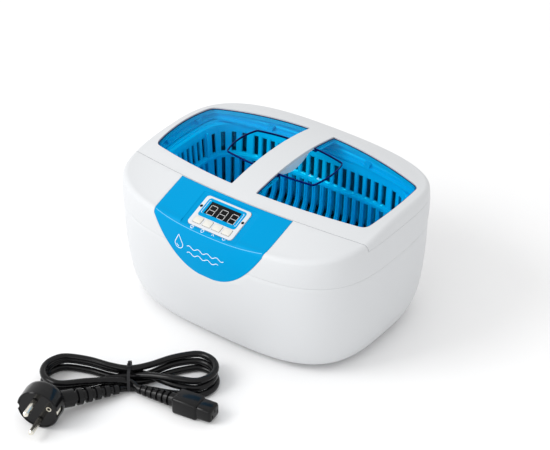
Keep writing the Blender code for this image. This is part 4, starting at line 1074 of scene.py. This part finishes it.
def make_lid_window():
    """Tinted sheet with a panel that steps up into each window, and the finger hole through it."""
    sheet = sheet_solid("lid_window_sheet", SHEET_DEPTH, SHEET_THICK)
    hollow_depth = RAISED_DEPTH + SHEET_THICK
    for side in (1, -1):
        step = sheet_solid("step", RAISED_DEPTH, SHEET_DEPTH - RAISED_DEPTH + 0.0005)
        combine(step, prism("step_edge", window_outline(side, 2 * GAP), *LID_CUT), "INTERSECT")
        combine(sheet, step, "UNION")
        hollow = sheet_solid("hollow", hollow_depth, SHEET_DEPTH + 0.004 - hollow_depth)
        edge = window_outline(side, 2 * GAP + SHEET_THICK)
        combine(hollow, prism("hollow_edge", edge, *LID_CUT), "INTERSECT")
        combine(sheet, hollow)
    combine(sheet, prism("grip_hole", grip_hole_outline(), *LID_CUT))
    shade(sheet.data, 40)
    piece(sheet, "tint", "lid", "window_tint", "lid_window")
    sheet.data.materials.append(LOOK["tint_edge"])
    sheet.data.materials.append(LOOK["side_painted_light"])
    # Side faces away from the hole get the opaque lighter blue, painted light where the clear sheet's walls
    # would sit in shade.
    for face in sheet.data.polygons:
        if abs(face.normal.z) < 0.35:
            by_hole = abs(face.center.x) < 0.053 and abs(face.center.y - CROWN_Y) < 0.029
            face.material_index = 1 if by_hole else 2
    make_window_skirts()
    make_hole_rim()
    make_pane_rims()


def offset_outline(outline, reach):
    """Move a closed outline, which runs counterclockwise, outwards by reach."""
    moved = []
    for before, spot, after in zip(outline[-1:] + outline, outline, outline[1:] + outline[:1]):
        along = (Vector(after) - Vector(before)).normalized()
        moved.append(Vector(spot) + Vector((along.y, -along.x)) * reach)
    return moved


def skirt_outline():
    """Plan outline of both windows together, with the bar's ends left out."""
    return rounded_loop(window_edges(60, both=True), [0.0062] * 4)


def moulding(name, outline, section, height):
    """Bar along a closed outline: its section's corners are pairs of reach outwards and level."""
    lines = []
    for reach, level in section:
        spots = offset_outline(outline, reach)
        lines.append([Vector((p.x, p.y, height(p, level))) for p in spots])
    return loft(name, [list(corners) for corners in zip(*lines)], closed=True)


def under_pane(spot, drop):
    """Height that is drop below the raised panes."""
    return crown(spot.x, spot.y) - RAISED_DEPTH - drop


def make_window_skirts():
    """Stepped blue wall that hangs from the sheet round the windows, with small lugs."""
    profile = [(0.001, 0.0), (0.001, 0.1296), (-0.0002, 0.1284), (-0.0002, 0.1254), (-0.0034, 0.1246),
               (-0.0034, 0.123), (0.003, 0.123), (0.003, 0.0)]

    def level_or_sheet(spot, level):
        return level if level > 0 else crown(spot.x, spot.y) - SHEET_DEPTH - SHEET_THICK + 0.0002

    parts = [moulding("skirt_wall", skirt_outline(), profile, level_or_sheet)]
    section = [(-0.0034, 0.1294), (0.0034, 0.1294), (0.002, 0.1244), (-0.002, 0.1244)]
    rear_y = WINDOW_REAR_Y - WINDOW_REAR_CURVE * 0.054 ** 2 - 0.0014
    places = [(side * 0.054, rear_y, 0.0) for side in (-1, 1)]
    places += [(side * 0.1155, CROWN_Y + way * 0.0215, 90.0) for side in (-1, 1) for way in (-1, 1)]
    for x, y, degrees in places:
        place = at(x, y, 0) @ Matrix.Rotation(radians(degrees), 4, "Z")
        inwards = -1 if y > CROWN_Y + 0.03 or x < 0 else 1
        depths = sorted((0.0016 * inwards, -0.0024 * inwards))
        sides = [[place @ Vector((u, v, z)) for u, z in section] for v in depths]
        parts.append(loft(f"lug_{x:.3f}_{y:.3f}", sides))
    piece(joined("window_skirts", parts), "skirt", "lid", "window_tint")


def make_hole_rim():
    """Fine dark bead round the finger hole."""
    section = ((0.0, -0.0002), (0.0007, -0.0002), (0.0007, 0.0016), (0.0, 0.0016))
    rim = moulding("hole_rim", grip_hole_outline(), section, under_pane)
    piece(rim, "tint_edge", "lid", "window_tint")


def make_pane_rims():
    """Fine dark bead round each raised pane, where its edge gathers the light."""
    section = ((-0.0005, -0.0001), (0.0001, -0.0001), (0.0001, 0.0006), (-0.0005, 0.0006))
    beads = []
    for side in (1, -1):
        outline = window_outline(side, 2 * GAP)[::side]
        bead = moulding(f"pane_rim_{side}", outline, section, under_pane)
        combine(bead, prism("grip_hole", grip_hole_outline(), *LID_CUT))
        beads.append(bead)
    piece(joined("pane_rims", beads), "tint_edge", "lid", "window_tint")


# ---- lead ----
def lead_frame(x=0.0, y=0.0, z=0.0):
    """Matrix on the floor beside the cleaner: X along the hank, Y across it."""
    return at(LEAD_X, LEAD_Y, 0) @ Matrix.Rotation(LEAD_ANGLE, 4, "Z") @ at(x, y, z)


# Where each pass of the hank goes through the tie: (across, height).
WAIST = [(-0.0108, 0.0033), (-0.0045, 0.0033), (0.0018, 0.0033), (0.0049, 0.0088), (-0.0013, 0.0089),
         (0.0018, 0.0146), (-0.009, 0.0092)]
# End loops in order: (side, across at the arriving leg, across at the leaving leg, height, reach).
LOOPS = [(1, -0.0205, 0.017, 0.0033, 0.0745), (-1, -0.0195, 0.018, 0.0033, 0.0745),
         (1, 0.019, -0.0185, 0.0092, 0.073), (-1, 0.0205, -0.017, 0.0093, 0.073),
         (1, -0.0165, 0.021, 0.0154, 0.074), (-1, 0.0175, -0.02, 0.0153, 0.074)]


def leg(waist, end, shares):
    """Points from the cord's pass through the tie towards end, where a loop starts or stops."""
    points = []
    for share in shares:
        ease = share * share * (3 - 2 * share)
        lift = min(1.0, 1.6 * share)
        points.append(Vector((end[0] * share, waist[0] + (end[1] - waist[0]) * ease,
                              waist[1] + (end[2] - waist[1]) * lift)))
    return points


def hank_route():
    """Points of the cord through all its passes and end loops, in the lead's own frame."""
    route = [Vector(PLUG_RELIEF_AT)]
    for index, (side, arrive, leave, height, far) in enumerate(LOOPS):
        radius = abs(leave - arrive) / 2
        middle = (leave + arrive) / 2
        bend_x = side * (far - radius)
        route.append(Vector((0.0, *WAIST[index])))
        route += leg(WAIST[index], (bend_x, arrive, height), (0.3, 0.65))
        for k in range(7):
            turn = pi * (k / 6 - 0.5) * (1 if leave > arrive else -1)
            route.append(Vector((bend_x + side * radius * cos(turn), middle + radius * sin(turn),
                                 height)))
        route += leg(WAIST[index + 1], (bend_x, leave, height), (0.65, 0.3))
    return [*route, Vector((0.0, *WAIST[-1])), Vector(CONNECTOR_RELIEF_AT)]


def smooth_route(points, step):
    """Points about step apart along a smooth curve through the given points."""
    route = []
    padded = [points[0] * 2 - points[1], *points, points[-1] * 2 - points[-2]]
    for before, start, end, after in zip(padded, padded[1:], padded[2:], padded[3:]):
        square = 2 * before - 5 * start + 4 * end - after
        cube = 3 * start - before - 3 * end + after
        count = max(1, round((end - start).length / step))
        for k in range(count):
            t = k / count
            route.append(start + 0.5 * ((end - before) * t + square * t ** 2 + cube * t ** 3))
    route.append(points[-1])
    return route


def make_cord():
    curve = bpy.data.curves.new("lead_cord", "CURVE")
    curve.dimensions = "3D"
    curve.bevel_depth = CORD / 2
    curve.bevel_resolution = 4
    curve.resolution_u = 1
    curve.use_fill_caps = True
    route = [lead_frame() @ point for point in smooth_route(hank_route(), 0.003)]
    spline = curve.splines.new("POLY")
    spline.points.add(len(route) - 1)
    for target, point in zip(spline.points, route):
        target.co = (*point, 1.0)
    spline.use_smooth = True
    return piece(linked("lead_cord", curve), "rubber", "base", "black_rubber", "lead_hank")


def make_tie():
    """A flat tie bent round the waist of the hank."""
    middle_y = -0.0018
    high = 0.0185
    outline = rounded_rectangle(0.0135, high / 2, 0.006)
    rings = []
    for grow, x in ((0.0, -0.0013), (0.0, 0.0013), (-0.0007, 0.0013), (-0.0007, -0.0013)):
        ring = []
        for y, z in outline:
            shrink = 1 + grow / hypot(y, z)
            ring.append(Vector((x, middle_y + y * shrink, high / 2 + 0.0001 + z * shrink)))
        rings.append(ring)
    place = lead_frame()
    tie = loft("lead_tie_strap", rings, closed=True, matrix=place)
    head = box("tie_head", (0.0042, 0.0046, 0.0036), (0, middle_y + 0.002, high - 0.0002), place, 0.0006)
    tail = box("tie_tail", (0.0022, 0.0008, 0.006), (0, middle_y + 0.002, high + 0.0022), place, 0.0002)
    return piece(joined("lead_tie_band", [tie, head, tail]), "black", "base", "black_plastic", "lead_tie")


def ribbed_profile(length, thin, thick, ribs, plain):
    """Radius along a strain relief: plain at its root, then ribs that step down to the cord."""
    profile = [(thick, 0.0), (thick, plain * length)]
    pitch = (1 - plain) * length / ribs
    for k in range(ribs):
        start = plain * length + pitch * k
        radius = thick + (thin - thick) * (k + 0.5) / ribs
        profile += [(radius * 0.72, start + pitch * 0.1), (radius * 0.72, start + pitch * 0.38),
                    (radius, start + pitch * 0.46), (radius, start + pitch * 0.94)]
    profile.append((thin * 0.9, length))
    return profile


def relief_between(name, start, end, thick, ribs, plain):
    """Strain relief from start, at its root, to end, where the cord comes out."""
    along = end - start
    turn = along.to_track_quat("Z", "Y").to_matrix().to_4x4()
    profile = ribbed_profile(along.length, RELIEF_THIN, thick, ribs, plain)
    return turned(name, profile, 32, lead_frame() @ Matrix.Translation(start) @ turn)


def make_plug():
    place = (lead_frame(*PLUG_AT) @ Matrix.Rotation(PLUG_YAW, 4, "Z")
             @ Matrix.Rotation(pi / 2, 4, "X"))
    radius = PLUG_RADIUS
    half = PLUG_DEPTH / 2
    profile = [(0.006, -half), (radius - 0.005, -half), (radius - 0.0022, -half + 0.0012),
               (radius - 0.0006, -half + 0.0032), (radius, -half + 0.006), (radius, half - 0.0008),
               (radius - 0.0008, half), (radius - 0.0016, half), (radius - 0.0018, half - 0.0006),
               (0.004, half - 0.0006)]
    plug = turned("lead_plug_body", profile, 72, place)
    for side in (-1, 1):
        spot = (side * (radius + 0.0012), 0, half - 0.002)
        combine(plug, box(f"notch_{side}", (0.006, 0.006, 0.016), spot, place, 0.0008))
    earth = place @ at(0.0105, 0.0035, 0)
    combine(plug, turned("earth_hole", [(0.0024, half - 0.012), (0.0024, half + 0.01)], 24, earth))
    root = Vector((PLUG_AT[0] + 0.013, PLUG_AT[1] + 0.009, 0.015))
    end = PLUG_RELIEF_AT + Vector((-0.0005, -0.0003, 0))
    plug = joined("lead_plug_body", [plug, relief_between("plug_relief", root, end, 0.0078, 5, 0.22)])
    piece(plug, "rubber", "base", "black_rubber", "lead_plug")
    ring = [(0.0023, half - 0.003), (0.0023, half - 0.0002), (0.0015, half - 0.0002),
            (0.0015, half - 0.003)]
    contacts = [turned("earth_ring", ring, 24, earth, closed=True)]
    contacts += [box(f"earth_clip_{side}", (0.001, 0.004, 0.012),
                     (side * (radius - 0.0016), 0, half - 0.0075), place, 0.0003) for side in (-1, 1)]
    contacts = piece(joined("lead_plug_contacts", contacts), "pin", "base", "pin_metal")
    return plug, contacts


def make_connector():
    along = (CONNECTOR_AT - CONNECTOR_RELIEF_AT).normalized()
    place = lead_frame(*CONNECTOR_AT) @ Matrix.Rotation(atan2(along.y, along.x), 4, "Z")
    body = box("connector_body", (0.024, 0.018, 0.016), (0.0115, 0, 0), place, 0.0022)
    nose = box("connector_nose", (0.016, 0.016, 0.013), (0.029, 0, 0), place, 0.0028)
    for k, (y, z) in enumerate([(-0.004, -0.0012), (0.004, -0.0012), (0.0, 0.0022)]):
        combine(nose, box(f"pin_hole_{k}", (0.01, 0.0014, 0.0034), (0.035, y, z), place))
    relief = relief_between("connector_relief", CONNECTOR_AT + along * 0.002, CONNECTOR_RELIEF_AT, 0.0066,
                            6, 0.16)
    connector = joined("lead_connector_body", [body, nose, relief])
    return piece(connector, "rubber", "base", "black_rubber", "lead_connector")


def make_lead():
    cord = make_cord()
    tie = make_tie()
    plug, contacts = make_plug()
    connector = make_connector()


# ---- CAD nodes that stay ----
def dress_cad_nodes():
    looks = {
        "black": ["bottom_cover", "display_module", "control_chip", "drive_transformer", "filter_capacitor",
                  "fan_frame", "fan_rotor", "inlet_socket", "inlet_wire"],
        "board": ["control_board", "driver_board"],
        "silicone": ["tank_gasket", "heater_pad", "control_cable"],
        "aluminium": ["drive_heatsink", "left_transducer_front_mass", "right_transducer_front_mass"],
        "ceramic": ["left_transducer_piezo_stack", "right_transducer_piezo_stack"],
        "steel": ["left_transducer_back_mass", "right_transducer_back_mass"],
        "pin": ["lead_plug_pin_1", "lead_plug_pin_2"],
        "rubber": [f"foot_{k}" for k in range(1, 5)],
    }
    looks["black"] += [f"button_switch_{k}" for k in range(1, 5)]
    looks["steel"] += [f"{place}_screw_{k}" for place in ("base", "lid") for k in range(1, 5)]
    for look, names in looks.items():
        for name in names:
            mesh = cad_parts[name].data
            mesh.materials.clear()
            mesh.materials.append(LOOK[look])
            shade(mesh)


# ---- studio ----
def make_camera():
    data = bpy.data.cameras.new("camera")
    data.sensor_width = 36.0
    data.lens = CAMERA_LENS
    data.shift_x, data.shift_y = CAMERA_SHIFT
    azimuth, elevation = CAMERA_AZIMUTH, CAMERA_ELEVATION
    back = Vector((sin(azimuth) * cos(elevation), -cos(azimuth) * cos(elevation),
                   sin(elevation)))
    right = Vector((cos(azimuth), sin(azimuth), 0))
    turn = Matrix((right, back.cross(right), back)).transposed().to_4x4()
    place = Matrix.Translation(CAMERA_TARGET + back * CAMERA_DISTANCE)
    bpy.context.scene.camera = linked("camera", data, place @ turn)


def make_floor():
    bm = bmesh.new()
    bmesh.ops.create_grid(bm, x_segments=8, y_segments=8, size=6.0)
    floor = add_mesh("studio_floor", bm)
    floor.data.materials.append(surface("studio_floor", (0.9, 0.9, 0.9), (0.88, 0.88, 0.885), 0.75,
                                        grain=20.0, bump=0.0))


def add_area(name, place, size, power):
    """Rectangular lamp that looks at the object."""
    data = bpy.data.lights.new(name, "AREA")
    data.shape = "RECTANGLE"
    data.size, data.size_y = size
    data.energy = power
    way = Vector((0, 0, 0.05)) - Vector(place)
    turn = way.to_track_quat("-Z", "Y").to_matrix().to_4x4()
    linked(name, data, Matrix.Translation(place) @ turn)


def make_lights():
    world = bpy.data.worlds.new("studio")
    world.use_nodes = True
    fill(world.node_tree.nodes["Background"], Color=(1.0, 1.0, 1.0, 1.0), Strength=0.96)
    bpy.context.scene.world = world
    add_area("key", (-1.5, -1.9, 2.0), (1.4, 1.4), 40.0)
    add_area("front", (-0.2, -2.6, 0.9), (2.0, 1.0), 11.0)
    bpy.context.scene.view_settings.view_transform = "Standard"


# ---- assembly ----
def build():
    make_camera()
    make_lead()
    make_lower_casing()
    make_upper_casing()
    make_control_panel()
    make_crease_highlight()
    make_bezel()
    make_display()
    make_buttons()
    make_signs()
    make_tank()
    make_basket()
    make_lid_frame()
    make_lid_window()
    dress_cad_nodes()
    make_floor()
    make_lights()


build()
